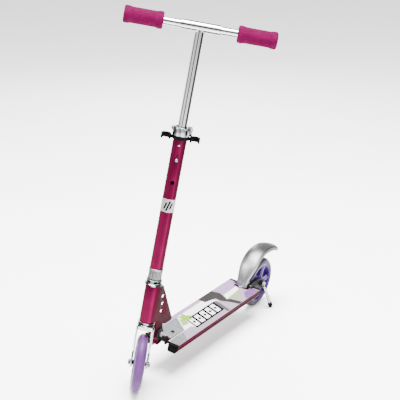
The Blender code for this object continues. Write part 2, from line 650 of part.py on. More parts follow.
def rear_bracket(frame):
    """The folded steel channel under the deck that carries the rear axle and the brake's pivot."""
    y, z = WHEELBASE, WHEEL_R
    plate = rounded([(529.5, 85.9, 0), (470, 85.9, 0), (470, 68, 4), (580, 63, 8)])
    plate += arc((y, z), 14, 250, 415, 10)
    plate += [(604, 96), (597, 98.4), (535, 98.4), (531, 97), (529.5, 94)]
    bracket = piece("rear_bracket", prism(plate, BRACKET_NEAR, BRACKET_FAR), frame, "dark_steel")
    join(bracket, prism(plate, -BRACKET_FAR, -BRACKET_NEAR))
    join(bracket, box((-BRACKET_NEAR - 1, 471, 83), (BRACKET_NEAR + 1, CENTRE_REAR - 4, 85.85)))
    cut(bracket, rod(AXLE_R + 0.15, -30, 30, ROUND, "x", (0, y, z)))
    cut(bracket, rod(3.3, -30, 30, 16, "x", (0, *BRAKE_PIVOT)))


def rear_axle(frame):
    centre = (0, WHEELBASE, WHEEL_R)
    head = KICK_PLATE_FAR + GAP
    bolt = [(0, -26.5), (AXLE_R, -26.5), (AXLE_R, head), (6, head), (6, head + 1.8), (5, head + 2.6),
            (2.4, head + 2.6), (2.4, head + 1.2), (0, head + 1.2)]
    piece("rear_axle_bolt", turned(bolt, ROUND, "x", centre), frame, "zinc_steel")
    hex_nut("rear_axle_nut", frame, centre[1:], -25.5, -BRACKET_FAR - GAP, "zinc_steel")


def brake_pivot(frame):
    """The pin that the fender turns on, and the coil spring round it."""
    centre = (0, *BRAKE_PIVOT)
    pin = [(0, -21.8), (3.6, -21.8), (3.6, -BRACKET_FAR - GAP), (3, -BRACKET_FAR - GAP), (3, BRACKET_FAR + GAP),
           (3.6, BRACKET_FAR + GAP), (3.6, 21.8), (0, 21.8)]
    piece("brake_pivot_pin", turned(pin, ROUND, "x", centre), frame, "zinc_steel")
    y, z = BRAKE_PIVOT
    coil = [Vector((-4.5 + 9 * i / 32, y + 4.4 * math.cos(i * math.pi / 4), z + 4.4 * math.sin(i * math.pi / 4)))
            for i in range(33)]
    tail = [Vector((4.6, y + 4.6, z - 4.8)), Vector((4.8, y - 1, z - 6.2)), Vector((4.8, 529.5, 86.9))]
    piece("brake_spring", swept(coil + tail, 0.7, 5), frame, "zinc_steel")


def fender_line():
    """The fender's middle line in y and z from the brake's pivot, foot first."""
    line = [(521, 92.6), (525, 112), (533, 131), (547, 152.5), (568, 172.5), (594, 185), (622, 188.5), (654, 184),
            (689, 170)]
    return [Vector((0, y - BRAKE_PIVOT[0], z - BRAKE_PIVOT[1])) for y, z in line]


def fender(brake):
    """The sprung steel fender that is pressed onto the rear tyre: a crowned strip with turned-down rims."""
    line = smooth(fender_line(), 2)
    shape = bmesh.new()
    rings = []
    for i, here in enumerate(line):
        along = (line[min(i + 1, len(line) - 1)] - line[max(i - 1, 0)]).normalized()
        out = Vector((0, -along.z, along.y))
        height = here.z + BRAKE_PIVOT[1]
        full = 1.0 if i > len(line) / 2 else min(1.0, max(0.0, (height - 112) / 40))
        wide = 16.4 + 8.6 * full
        to_tip = (line[-1] - here).length
        if to_tip < 16:
            wide = 15.5 + 9.5 * math.sqrt(max(0.0, 1 - ((16 - to_tip) / 16) ** 2))
        inner = wide - FENDER_THICK
        edge, shoulder, crown = 8.0 + 5.5 * full, 3.7 + 4.3 * full, 1.0 + 1.6 * full
        outside = [(wide, edge), (wide, shoulder), (0.82 * wide, 0.5 * (shoulder + crown) - 0.4),
                   (0.5 * wide, crown - 0.6), (0, 0)]
        inside = [(x * inner / wide, drop + FENDER_THICK) for x, drop in outside]
        inside[0] = (inner, edge)
        ring = [(-x, drop) for x, drop in outside] + outside[-2::-1] + inside + [(-x, d) for x, d in inside[-2::-1]]
        rings.append([shape.verts.new(here + Vector((x, 0, 0)) - out * drop) for x, drop in ring])
    count = len(rings[0])
    for near, far in zip(rings, rings[1:]):
        for k in range(count):
            shape.faces.new((near[k - 1], near[k], far[k], far[k - 1]))
    for ring in (rings[0], rings[-1]):
        for a in range(count // 2 - 1):
            shape.faces.new((ring[a], ring[a + 1], ring[count - 2 - a], ring[count - 1 - a]))
    body = piece("fender", shape, brake, "silver_metal")
    ear = [(-18.6, -0.8)] + arc((0, 0), 7.5, -120, 60, 8) + [(-7, 20), (-12.2, 16.2)]
    join(body, prism(ear, 14.3, 16.3), prism(ear, -16.3, -14.3))
    cut(body, rod(3.1, -20, 20, ROUND, "x"))


def kickstand(frame):
    """The plate that carries the kickstand beside the rear axle, and the leg that swings back and up."""
    points = circle((WHEELBASE, WHEEL_R), 10) + circle(KICK_PIVOT[1:], 8.5)
    hull = [points[i] for i in convex_hull_2d(points)]
    plate = piece("kickstand_bracket", prism(hull, BRACKET_FAR + GAP, KICK_PLATE_FAR), frame, "dark_steel")
    cut(plate, rod(AXLE_R + 0.15, 0, 40, ROUND, "x", (0, WHEELBASE, WHEEL_R)))
    hole = KICK_PIVOT[2] - (KICK_PIVOT[0] - (BRACKET_FAR + KICK_PLATE_FAR) / 2) * math.tan(KICK_TILT)
    cut(plate, rod(3.9, 0, 40, ROUND, "x", (0, KICK_PIVOT[1], hole)))
    axis = empty("kickstand_axis", frame, at(*KICK_PIVOT) @ Matrix.Rotation(-KICK_TILT, 4, "Y"))
    bolt = [(0, -6.2), (3, -6.2), (3, 2.1), (5.4, 2.1), (5.4, 3.4), (4.4, 4.4), (0, 4.4)]
    piece("kickstand_pivot_bolt", turned(bolt, ROUND, "x"), axis, "zinc_steel")
    foot = Vector(KICK_FOOT)
    path = smooth([(2.1, 0, -9), (4.9, 0.3, -12.6), (7.4, 2, -22), (11.2, 11, -49), tuple(foot)], 2)
    leg = piece("kickstand_leg", swept(path, 4.2, 10), axis, "silver_metal")
    tab = arc((0, 0), 7, -30, 210, 12) + [(-3.4, -10.6), (3.4, -10.6)]
    join(leg, prism(tab, -1.8, 1.8))
    cut(leg, rod(3.1, -10, 10, ROUND, "x"))
    direction = (foot - Vector(path[-2])).normalized()
    foot_shape = turned([(4.5, -10), (5.6, -10), (FOOT_R, -8.5), (FOOT_R, 0)]
                        + [(FOOT_R * math.cos(a), FOOT_R * math.sin(a)) for a in np.radians((30, 60))]
                        + [(0, FOOT_R), (0, 0.6), (4.5, 0.6)], 16)
    lay = direction.to_track_quat("Z", "Y").to_matrix().to_4x4()
    bmesh.ops.transform(foot_shape, matrix=Matrix.Translation(foot) @ lay, verts=foot_shape.verts)
    piece("kickstand_foot", foot_shape, axis, "black_plastic")
    return axis


# ---------------------------------------------------------------- standing

def resting_lean(rear_centre, front_centre, front_axis, foot):
    """The lean, pitch and lift that put both tyres and the kickstand's foot on the ground."""
    def heights(lean, pitch, lift):
        turn = Matrix.Rotation(lean, 3, "Y") @ Matrix.Rotation(pitch, 3, "X")
        result = []
        for centre, axis in ((front_centre, front_axis), (rear_centre, Vector((1, 0, 0)))):
            tilt = (turn @ axis).z
            ring = WHEEL_R - TYRE_HALF
            result.append((turn @ centre).z - ring * math.sqrt(1 - tilt ** 2) - TYRE_HALF + lift)
        result.append((turn @ foot).z - FOOT_R + lift)
        return np.array(result)

    state = np.array([math.radians(8.0), 0.0, 0.0])
    for _ in range(12):
        base = heights(*state)
        slopes = np.array([(heights(*(state + step)) - base) / 1e-5 for step in 1e-5 * np.eye(3)]).T
        state = state - np.linalg.solve(slopes, base)
    return state


def stand(root, kick_axis, steering, front_wheel):
    """Leans the scooter on its kickstand and centres its box over the origin."""
    bpy.context.view_layer.update()
    front = front_wheel.matrix_world
    lean, pitch, lift = resting_lean(Vector((0, WHEELBASE, WHEEL_R)), front.translation / MM,
                                     front.to_3x3() @ Vector((1, 0, 0)),
                                     kick_axis.matrix_world @ (Vector(KICK_FOOT) * MM) / MM)
    turn = Matrix.Rotation(lean, 4, "Y") @ Matrix.Rotation(pitch, 4, "X")
    root.matrix_basis = at(0, 0, lift) @ turn
    bpy.context.view_layer.update()
    graph = bpy.context.evaluated_depsgraph_get()
    points = []
    for obj in bpy.data.objects:
        if obj.type == "MESH" and not obj.hide_render:
            mesh = obj.evaluated_get(graph).data
            points += [obj.matrix_world @ vertex.co for vertex in mesh.vertices]
    span = np.array(points)
    middle = (span.min(axis=0) + span.max(axis=0)) / 2
    root.matrix_basis = Matrix.Translation((-middle[0], -middle[1], -span[:, 2].min())) @ root.matrix_basis


def build():
    clear_scene()
    root = empty("scooter", None, Matrix())
    deck_platform(root)
    grip_sheet(root)
    rail_plugs(root)
    hinge_bracket(root)
    hinge_cover(root)
    fold_release(root)

    fold = empty("fold_axis", root, at(0, *PIVOT))
    fold_tongue(fold)
    raked = at(0, AXIS_BEHIND_AXLE, WHEEL_R) @ Matrix.Rotation(-RAKE, 4, "X")
    head = empty("head_frame", fold, at(0, -PIVOT[0], -PIVOT[1]) @ raked)
    head_tube(head)
    head_gusset(head)
    headset(head)

    steering = empty("steering_axis", head, Matrix.Rotation(STEER_REST, 4, "Z"))
    fork(steering)
    steerer(steering)
    front_axle(steering)
    lower_stem(steering)
    stem_collar(steering)
    handle_clip(steering)
    stem_clamp(steering)
    front_wheel = empty("front_wheel_axis", steering, at(0, AXLE_BACK, AXLE_HIGH))
    wheel(front_wheel, "front", "lavender_urethane", "lavender_urethane")

    upper = empty("upper_stem_slide", steering, Matrix())
    upper_stem(upper)
    facing_front = Matrix(((0, 0, 1), (1, 0, 0), (0, 1, 0))).transposed().to_4x4()
    height_button = empty("height_button_axis", upper, at(0, 0, STEM_HOLES[0]) @ facing_front)
    snap_clip("height_snap_clip", height_button, 3.8, -17.6,
              [(5, -8.3), (-20, -8.0), (-24, -5.8), (-21, -3.6), (3, 4.2)])
    for side, word in ((1, "left"), (-1, "right")):
        slide = empty(f"{word}_handle_slide", upper, at(0, 0, BAR_HEIGHT))
        handle(slide, side, word)
        facing = Matrix.Rotation(0 if side > 0 else math.pi, 4, "Z")
        button = empty(f"{word}_button_axis", slide, at(side * BUTTON_X, 0, 0) @ facing)
        snap_clip(f"{word}_snap_clip", button, 3.0, -13.0,
                  [(4, -7.0), (-16, -6.7), (-19.5, -4.9), (-17, -3.0), (2, 3.4)])

    rear_bracket(root)
    rear_axle(root)
    brake_pivot(root)
    rear_wheel = empty("rear_wheel_axis", root, at(0, WHEELBASE, WHEEL_R))
    wheel(rear_wheel, "rear", "grey_urethane", "purple_plastic")
    brake = empty("brake_axis", root, at(0, *BRAKE_PIVOT))
    fender(brake)
    kick_axis = kickstand(root)
    stand(root, kick_axis, steering, front_wheel)


build()
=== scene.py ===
import json
import math

import bmesh
import bpy
import numpy as np
from mathutils import Matrix, Quaternion, Vector
from mathutils.geometry import tessellate_polygon


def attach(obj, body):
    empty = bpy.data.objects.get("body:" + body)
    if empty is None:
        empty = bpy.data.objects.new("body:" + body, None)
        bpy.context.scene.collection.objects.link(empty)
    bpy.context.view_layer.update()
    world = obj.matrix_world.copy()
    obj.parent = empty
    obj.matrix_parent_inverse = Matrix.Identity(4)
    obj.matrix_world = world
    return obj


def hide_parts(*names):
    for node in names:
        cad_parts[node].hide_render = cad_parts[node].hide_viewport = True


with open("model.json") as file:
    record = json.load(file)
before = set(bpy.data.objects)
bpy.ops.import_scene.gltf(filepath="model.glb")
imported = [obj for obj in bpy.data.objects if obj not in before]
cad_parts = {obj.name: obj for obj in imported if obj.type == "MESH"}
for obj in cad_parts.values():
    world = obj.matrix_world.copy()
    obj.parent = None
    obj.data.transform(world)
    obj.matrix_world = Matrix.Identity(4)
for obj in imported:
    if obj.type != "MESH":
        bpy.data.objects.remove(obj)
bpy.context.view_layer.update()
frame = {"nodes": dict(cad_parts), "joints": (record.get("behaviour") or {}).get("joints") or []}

MM = 0.001
NODES = frame["nodes"]
JOINTS = {joint["name"]: joint for joint in frame["joints"]}

# millimetres
WHEEL_R = 72.5
WHEELBASE = 622.0
AXLE_PAST_FOLD = 542.0      # how far the rear axle lies behind the fold's axis
AXLE_BELOW_FOLD = 51.5
CROSS_HEIGHT = 834.0        # up the stem from the front axle to the cross tube
STEM_R = 16.3
CHROME_R = 11.0
CROSS_R = 12.0
SHEET_TOP = 90.2
INK = 0.05                  # each printed layer's thickness
SPOKES = 5


# ---------------------------------------------------------------- frames

def basis(origin, x, z):
    """A frame in millimetres from its origin and two of its axes."""
    x, z = Vector(x).normalized(), Vector(z).normalized()
    y = z.cross(x)
    turn = Matrix((x, y, z)).transposed().to_4x4()
    return Matrix.Translation(Vector(origin)) @ turn @ Matrix.Scale(MM, 4)


def deck_frame():
    """The scooter's own frame: x to its left, y back, z up, from the ground under the straight front axle."""
    across = Vector(JOINTS["rear_wheel_spin"]["axis"])
    fold, rear = Vector(JOINTS["stem_fold"]["pos_m"]), Vector(JOINTS["rear_wheel_spin"]["pos_m"])
    along = (rear - fold).normalized()
    tilt = math.atan2(AXLE_BELOW_FOLD, AXLE_PAST_FOLD)
    up = (across.cross(along) * math.cos(tilt) - along * math.sin(tilt)).normalized()
    back = up.cross(across)
    origin = rear - back * WHEELBASE * MM - up * WHEEL_R * MM
    return basis(origin, across, up)


DECK = deck_frame()
AXLE, COLUMN = JOINTS["front_wheel_spin"], JOINTS["steering_hinge"]
STEER = basis(COLUMN["pos_m"], AXLE["axis"], COLUMN["axis"])
FRONT = basis(AXLE["pos_m"], AXLE["axis"], COLUMN["axis"])
REAR = basis(JOINTS["rear_wheel_spin"]["pos_m"], JOINTS["rear_wheel_spin"]["axis"], DECK.to_3x3().col[2])
BARS = STEER @ Matrix.Translation((0, 0, CROSS_HEIGHT))


# ---------------------------------------------------------------- materials

def nodes_of(material):
    material.use_nodes = True
    return material.node_tree.nodes, material.node_tree.links


def paint_light_stripes(nodes, links, tint, across, stops):
    """Darkens a tint in stripes of painted reflection and shade, by how far the surface faces a direction
    fixed to the piece.
    """
    shape = nodes.new("ShaderNodeNewGeometry")
    own = nodes.new("ShaderNodeVectorTransform")
    own.vector_type = "NORMAL"
    own.convert_from, own.convert_to = "WORLD", "OBJECT"
    links.new(shape.outputs["Normal"], own.inputs["Vector"])
    facing = nodes.new("ShaderNodeVectorMath")
    facing.operation = "DOT_PRODUCT"
    facing.inputs[1].default_value = across
    links.new(own.outputs["Vector"], facing.inputs[0])
    spread = nodes.new("ShaderNodeMapRange")
    spread.inputs["From Min"].default_value = -1.0
    links.new(facing.outputs["Value"], spread.inputs["Value"])
    ramp = nodes.new("ShaderNodeValToRGB")
    band = ramp.color_ramp
    while len(band.elements) < len(stops):
        band.elements.new(0.5)
    for element, (at, value) in zip(band.elements, stops):
        element.position = (at + 1) / 2
        element.color = (value, value, value, 1)
    links.new(spread.outputs["Result"], ramp.inputs["Fac"])
    shade = nodes.new("ShaderNodeMix")
    shade.data_type = "RGBA"
    shade.blend_type = "MULTIPLY"
    shade.inputs["Factor"].default_value = 1.0
    links.new(tint, shade.inputs["A"])
    links.new(ramp.outputs["Color"], shade.inputs["B"])
    return shade.outputs["Result"]


# level and square to the camera's view at rest, and straight up
ACROSS, UPWARD = (0.857, 0.514, 0.0), (0.0, 0.0, 1.0)
# painted reflection and shade stripes: how far the surface faces the direction, from -1 to 1, and the tint's
# strength there
CHROME_REFLECTIONS_ACROSS = [(-1, 1), (-0.86, 0.95), (-0.8, 0.12), (-0.7, 0.12), (-0.62, 1), (-0.3, 1), (-0.24, 0.08),
               (-0.06, 0.12), (0.02, 0.85), (0.2, 0.3), (0.34, 0.5), (0.42, 0.02), (0.84, 0.01), (0.92, 0.95),
               (1, 1)]
CHROME_REFLECTIONS_UP = [(-1, 0.3), (-0.66, 0.4), (-0.6, 0.02), (-0.4, 0.02), (-0.34, 0.9), (0.1, 1), (0.16, 0.02),
             (0.36, 0.02), (0.42, 1), (0.76, 1), (0.82, 0.02), (1, 0.02)]
SATIN_REFLECTIONS_ACROSS = [(-1, 0.7), (-0.93, 0.6), (-0.86, 0.08), (-0.76, 0.12), (-0.62, 0.75), (-0.3, 0.6), (0, 0.95),
              (0.35, 1), (0.6, 0.6), (0.72, 0.1), (0.88, 0.05), (0.94, 0.6), (1, 0.7)]
SATIN_REFLECTIONS_UP = [(-1, 0.06), (-0.3, 0.35), (0.1, 1), (0.75, 1), (1, 0.8)]
CLAMP_REFLECTIONS_ACROSS = [(-1, 0.5), (-0.85, 0.06), (-0.6, 0.1), (-0.45, 0.8), (-0.1, 0.25), (0.05, 0.9), (0.3, 0.5),
              (0.45, 0.08), (0.6, 0.7), (0.8, 0.05), (1, 0.4)]
CAST_REFLECTIONS_ACROSS = [(-1, 0.75), (-0.92, 0.7), (-0.84, 0.02), (-0.3, 0.03), (-0.2, 0.9), (0.2, 1), (0.3, 0.03),
             (0.84, 0.02), (0.92, 0.7), (1, 0.75)]
LEG_REFLECTIONS_ACROSS = [(-1, 0.3), (-0.92, 0.02), (-0.52, 0.03), (-0.42, 0.9), (-0.08, 1), (0.02, 0.06), (0.2, 0.05),
            (0.3, 0.95), (0.46, 0.9), (0.54, 0.02), (0.92, 0.02), (1, 0.3)]
PAINT_LIGHT_AND_SHADE_ACROSS = [(-1, 0.4), (-0.88, 0.5), (-0.74, 0.76), (-0.2, 0.72), (0.04, 0.74), (0.16, 1), (0.38, 1),
              (0.52, 0.52), (0.75, 0.34), (0.92, 0.22), (1, 0.2)]
PRESSED_REFLECTIONS_ACROSS = [(-1, 0.5), (-0.9, 0.15), (-0.75, 0.4), (-0.6, 0.85), (0.1, 1), (0.5, 0.8), (0.6, 0.2),
                (0.72, 0.9), (0.84, 0.1), (1, 0.4)]
PRESSED_REFLECTIONS_UP = [(-1, 0.15), (0, 0.8), (0.3, 0.62), (0.45, 0.75), (0.58, 1), (0.68, 0.42), (0.8, 0.22),
              (1, 0.13)]


def surface(name, colour, second, roughness, metallic=0.0, grain=60.0, stretch=(1, 1, 1), bump=0.0,
            bump_scale=900.0, cells=False, wear_and_highlight=None, speckle=None, painted_light_and_shade=(), **sockets):
    """A material: two tones mixed by noise, uneven gloss, fine relief, edges mixed toward a lighter or darker
    colour as wear and painted highlight, and stripes of painted reflection and shade.
    """
    made = bpy.data.materials.new(name)
    nodes, links = nodes_of(made)
    shader = nodes["Principled BSDF"]
    shader.inputs["Metallic"].default_value = metallic
    for key, value in sockets.items():
        shader.inputs[key.replace("_", " ")].default_value = value
    place = nodes.new("ShaderNodeTexCoord")
    lay = nodes.new("ShaderNodeMapping")
    lay.inputs["Scale"].default_value = stretch
    links.new(place.outputs["Object"], lay.inputs["Vector"])
    tone = nodes.new("ShaderNodeTexNoise")
    tone.inputs["Scale"].default_value = grain
    tone.inputs["Detail"].default_value = 6.0
    links.new(lay.outputs["Vector"], tone.inputs["Vector"])
    mix = nodes.new("ShaderNodeMix")
    mix.data_type = "RGBA"
    mix.inputs["A"].default_value = (*colour, 1)
    mix.inputs["B"].default_value = (*second, 1)
    ramp = nodes.new("ShaderNodeMapRange")
    ramp.inputs["From Min"].default_value = 0.3
    ramp.inputs["From Max"].default_value = 0.72
    links.new(tone.outputs["Fac"], ramp.inputs["Value"])
    links.new(ramp.outputs["Result"], mix.inputs["Factor"])
    tint = mix.outputs["Result"]
    if speckle:
        dots = nodes.new("ShaderNodeTexVoronoi")
        dots.inputs["Scale"].default_value = speckle[1]
        links.new(place.outputs["Object"], dots.inputs["Vector"])
        near = nodes.new("ShaderNodeMapRange")
        near.inputs["From Min"].default_value = 0.22
        near.inputs["From Max"].default_value = 0.3
        near.inputs["To Min"].default_value = speckle[2]
        near.inputs["To Max"].default_value = 0.0
        links.new(dots.outputs["Distance"], near.inputs["Value"])
        over = nodes.new("ShaderNodeMix")
        over.data_type = "RGBA"
        over.inputs["B"].default_value = (*speckle[0], 1)
        links.new(near.outputs["Result"], over.inputs["Factor"])
        links.new(tint, over.inputs["A"])
        tint = over.outputs["Result"]
    # edges by pointiness, toward the given colour: partly wear, partly a painted highlight
    if wear_and_highlight:
        shape = nodes.new("ShaderNodeNewGeometry")
        edge = nodes.new("ShaderNodeMapRange")
        edge.inputs["From Min"].default_value = 0.53
        edge.inputs["From Max"].default_value = 0.62
        edge.inputs["To Max"].default_value = wear_and_highlight[1]
        links.new(shape.outputs["Pointiness"], edge.inputs["Value"])
        worn_and_highlit = nodes.new("ShaderNodeMix")
        worn_and_highlit.data_type = "RGBA"
        worn_and_highlit.inputs["B"].default_value = (*wear_and_highlight[0], 1)
        links.new(edge.outputs["Result"], worn_and_highlit.inputs["Factor"])
        links.new(tint, worn_and_highlit.inputs["A"])
        tint = worn_and_highlit.outputs["Result"]
    # painted reflection and shade, in stripes by the surface's facing
    for across, stops in painted_light_and_shade:
        tint = paint_light_stripes(nodes, links, tint, across, stops)
    links.new(tint, shader.inputs["Base Color"])
    gloss = nodes.new("ShaderNodeMapRange")
    gloss.inputs["From Min"].default_value = 0.3
    gloss.inputs["From Max"].default_value = 0.75
    gloss.inputs["To Min"].default_value, gloss.inputs["To Max"].default_value = roughness
    smear = nodes.new("ShaderNodeTexNoise")
    smear.inputs["Scale"].default_value = grain * 0.4
    smear.inputs["Detail"].default_value = 4.0
    links.new(lay.outputs["Vector"], smear.inputs["Vector"])
    links.new(smear.outputs["Fac"], gloss.inputs["Value"])
    links.new(gloss.outputs["Result"], shader.inputs["Roughness"])
    if bump:
        relief = nodes.new("ShaderNodeTexVoronoi" if cells else "ShaderNodeTexNoise")
        relief.inputs["Scale"].default_value = bump_scale
        links.new(lay.outputs["Vector"], relief.inputs["Vector"])
        rise = nodes.new("ShaderNodeBump")
        rise.inputs["Strength"].default_value = bump
        rise.inputs["Distance"].default_value = 0.0004
        links.new(relief.outputs["Distance" if cells else "Fac"], rise.inputs["Height"])
        links.new(rise.outputs["Normal"], shader.inputs["Normal"])
    return made


# painted highlight and painted shade: the paint is lighter and darker in stripes by its facing
MAGENTA = surface("magenta_paint", (0.096, 0.0036, 0.027), (0.07, 0.0023, 0.0185), (0.3, 0.42), 0.5, grain=25,
                  bump=0.05, bump_scale=900, wear_and_highlight=((0.25, 0.02, 0.08), 0.3), painted_light_and_shade=[(ACROSS, PAINT_LIGHT_AND_SHADE_ACROSS)],
                  Specular_IOR_Level=0.03, Specular_Tint=(0.4, 0.03, 0.12, 1))
# chrome and the metals below: their light and dark stripes are painted reflections
CHROME = surface("chrome_plate", (0.86, 0.87, 0.88), (0.76, 0.77, 0.79), (0.04, 0.12), 1.0, grain=40,
                 bump=0.02, bump_scale=300, painted_light_and_shade=[(ACROSS, CHROME_REFLECTIONS_ACROSS)])
# the same chrome as chrome_plate, its painted reflections turned to face up for the level tubes
CHROME_LEVEL = surface("chrome_plate_level", (0.86, 0.87, 0.88), (0.76, 0.77, 0.79), (0.04, 0.12), 1.0,
                       grain=40, bump=0.02, bump_scale=300, painted_light_and_shade=[(UPWARD, CHROME_REFLECTIONS_UP)])
CLAMP = surface("polished_clamp", (0.62, 0.63, 0.64), (0.42, 0.43, 0.44), (0.12, 0.26), 1.0, grain=90,
                bump=0.05, bump_scale=500, wear_and_highlight=((0.9, 0.9, 0.9), 0.5),
                painted_light_and_shade=[(ACROSS, CLAMP_REFLECTIONS_ACROSS),
                       (UPWARD, [(-1, 0.2), (0, 1), (0.5, 0.8), (0.8, 0.3), (1, 0.25)])])
FOIL = surface("foil", (0.34, 0.27, 0.34), (0.27, 0.33, 0.28), (0.3, 0.45), 0.6, grain=45, bump=0.05,
               bump_scale=800, painted_light_and_shade=[(ACROSS, [(-1, 0.3), (-0.8, 0.8), (0, 1), (0.6, 0.9), (1, 0.3)])])
CHROME_LEG = surface("chrome_leg", (0.5, 0.51, 0.5), (0.34, 0.35, 0.34), (0.1, 0.24), 1.0, grain=60,
                     bump=0.05, bump_scale=500, painted_light_and_shade=[(ACROSS, LEG_REFLECTIONS_ACROSS)])
SILVER = surface("silver_metal", (0.42, 0.43, 0.44), (0.26, 0.27, 0.28), (0.22, 0.38), 1.0, grain=220,
                 stretch=(1, 1, 0.05), bump=0.12, bump_scale=1400, wear_and_highlight=((0.8, 0.8, 0.8), 0.6),
                 painted_light_and_shade=[(ACROSS, SATIN_REFLECTIONS_ACROSS), (UPWARD, SATIN_REFLECTIONS_UP)])
CAST = surface("polished_cast", (0.6, 0.61, 0.62), (0.45, 0.46, 0.47), (0.14, 0.3), 1.0, grain=90, bump=0.08,
               bump_scale=900, painted_light_and_shade=[(ACROSS, CAST_REFLECTIONS_ACROSS), (UPWARD, SATIN_REFLECTIONS_UP)])
WAIST = surface("fluted_cast", (0.17, 0.175, 0.175), (0.1, 0.104, 0.104), (0.25, 0.42), 1.0, grain=220,
                stretch=(1, 1, 0.1), bump=0.12, bump_scale=1400, wear_and_highlight=((0.6, 0.6, 0.6), 0.7),
                painted_light_and_shade=[(ACROSS, SATIN_REFLECTIONS_ACROSS)])
BRUSHED = surface("brushed_fender", (0.49, 0.49, 0.5), (0.32, 0.32, 0.33), (0.26, 0.4), 1.0, grain=260,
                  stretch=(1, 0.04, 0.06), bump=0.14, bump_scale=1500, wear_and_highlight=((0.7, 0.7, 0.71), 0.5),
                  painted_light_and_shade=[(ACROSS, PRESSED_REFLECTIONS_ACROSS), (UPWARD, PRESSED_REFLECTIONS_UP)])
ZINC = surface("zinc_steel", (0.30, 0.30, 0.31), (0.18, 0.18, 0.19), (0.22, 0.42), 1.0, grain=180, bump=0.08,
               wear_and_highlight=((0.7, 0.7, 0.72), 0.6), painted_light_and_shade=[(UPWARD, SATIN_REFLECTIONS_UP)])
BOLT = surface("bolt_steel", (0.12, 0.12, 0.125), (0.06, 0.06, 0.065), (0.2, 0.4), 1.0, grain=160, bump=0.08,
               wear_and_highlight=((0.5, 0.5, 0.5), 0.7), painted_light_and_shade=[(UPWARD, SATIN_REFLECTIONS_UP)])
DARK = surface("dark_steel", (0.004, 0.004, 0.0045), (0.002, 0.002, 0.0022), (0.4, 0.6), grain=120, bump=0.1,
               wear_and_highlight=((0.03, 0.03, 0.033), 0.4), Specular_IOR_Level=0.04)
BLACK = surface("black_plastic", (0.0016, 0.0016, 0.0018), (0.0008, 0.0008, 0.001), (0.45, 0.65), grain=90,
                bump=0.25, bump_scale=2600, cells=True, wear_and_highlight=((0.008, 0.008, 0.009), 0.5),
                Specular_IOR_Level=0.03)
# painted shade: the foam is painted darker on its top
FOAM = surface("magenta_foam", (0.092, 0.0014, 0.033), (0.068, 0.0008, 0.0235), (0.8, 0.97), grain=80,
               bump=0.7, bump_scale=1500, cells=True, Specular_IOR_Level=0.03,
               painted_light_and_shade=[(UPWARD, [(-1, 0.85), (-0.2, 1), (0.35, 1), (0.8, 0.62), (1, 0.5)])])
# painted shade: the tyre is painted darker where its sides face across the view
LAVENDER = surface("lavender_urethane", (0.088, 0.03, 0.128), (0.066, 0.021, 0.098), (0.26, 0.4), grain=30,
                   bump=0.05, bump_scale=500,
                   painted_light_and_shade=[(ACROSS, [(-1, 0.35), (-0.6, 0.9), (0.2, 1), (0.7, 0.6), (1, 0.35)])],
                   Subsurface_Weight=0.15, Subsurface_Scale=0.006, Specular_IOR_Level=0.1)
LAVENDER_HUB = surface("lavender_hub", (0.12, 0.05, 0.24), (0.085, 0.032, 0.18), (0.18, 0.32), grain=40,
                       bump=0.05, bump_scale=900, Subsurface_Weight=0.15, Subsurface_Scale=0.005,
                       Specular_IOR_Level=0.12)
GREY_PU = surface("grey_urethane", (0.03, 0.0225, 0.037), (0.018, 0.013, 0.024), (0.26, 0.42), grain=30,
                  bump=0.05, bump_scale=500, Subsurface_Weight=0.1, Subsurface_Scale=0.006,
                  Specular_IOR_Level=0.08)
PURPLE = surface("purple_plastic", (0.03, 0.0065, 0.10), (0.014, 0.0025, 0.052), (0.2, 0.36), grain=50,
                 bump=0.06, bump_scale=1200, wear_and_highlight=((0.12, 0.05, 0.28), 0.5), Specular_IOR_Level=0.12)
PLATE = surface("speckled_steel", (0.10, 0.103, 0.106), (0.07, 0.072, 0.075), (0.4, 0.6), 0.3, grain=420,
                bump=0.5, bump_scale=1800, cells=True, wear_and_highlight=((0.3, 0.3, 0.3), 0.5),
                speckle=((0.28, 0.27, 0.28), 260.0, 0.6), Specular_IOR_Level=0.05)


def sheet_print(name, colour, speckles=(0.9, 0.9, 0.9), amount=0.35, size=300.0):
    return surface(name, colour, tuple(0.78 * c for c in colour), (0.75, 0.95), grain=260, bump=0.9,
                   bump_scale=2400, cells=True, speckle=(speckles, size, amount), Specular_IOR_Level=0.02)


SHEET_OUTER = sheet_print("sheet_speckled", (0.20, 0.17, 0.215), (0.07, 0.06, 0.075), 0.6, 260.0)
SHEET_GREY = sheet_print("sheet_grey", (0.10, 0.103, 0.106), (0.28, 0.27, 0.28), 0.6, 260.0)
SHEET_LILAC = sheet_print("sheet_lilac", (0.20, 0.13, 0.25), (0.36, 0.3, 0.4), 0.4)
SHEET_WHITE = sheet_print("sheet_white", (0.62, 0.6, 0.62), (0.4, 0.38, 0.4), 0.35, 260.0)
SHEET_DARK = sheet_print("sheet_dark", (0.02, 0.019, 0.018), (0.05, 0.046, 0.046), 0.3)
SHEET_SLATE = sheet_print("sheet_slate", (0.05, 0.048, 0.052), (0.1, 0.095, 0.1), 0.4)
SHEET_BLACK = sheet_print("sheet_black", (0.004, 0.0038, 0.0042), (0.015, 0.015, 0.015), 0.3)
SHEET_GREEN = sheet_print("sheet_green", (0.125, 0.23, 0.018), (0.22, 0.35, 0.05), 0.3)
SHEET_PALE_GREEN = sheet_print("sheet_pale_green", (0.17, 0.22, 0.09), (0.3, 0.4, 0.15), 0.3)
SHEET_VIOLET = sheet_print("sheet_violet", (0.10, 0.045, 0.135), (0.2, 0.12, 0.24), 0.5)


# ---------------------------------------------------------------- mesh helpers

AXES = {"x": lambda u, v, w: (w, u, v), "y": lambda u, v, w: (u, w, v), "z": lambda u, v, w: (u, v, w)}


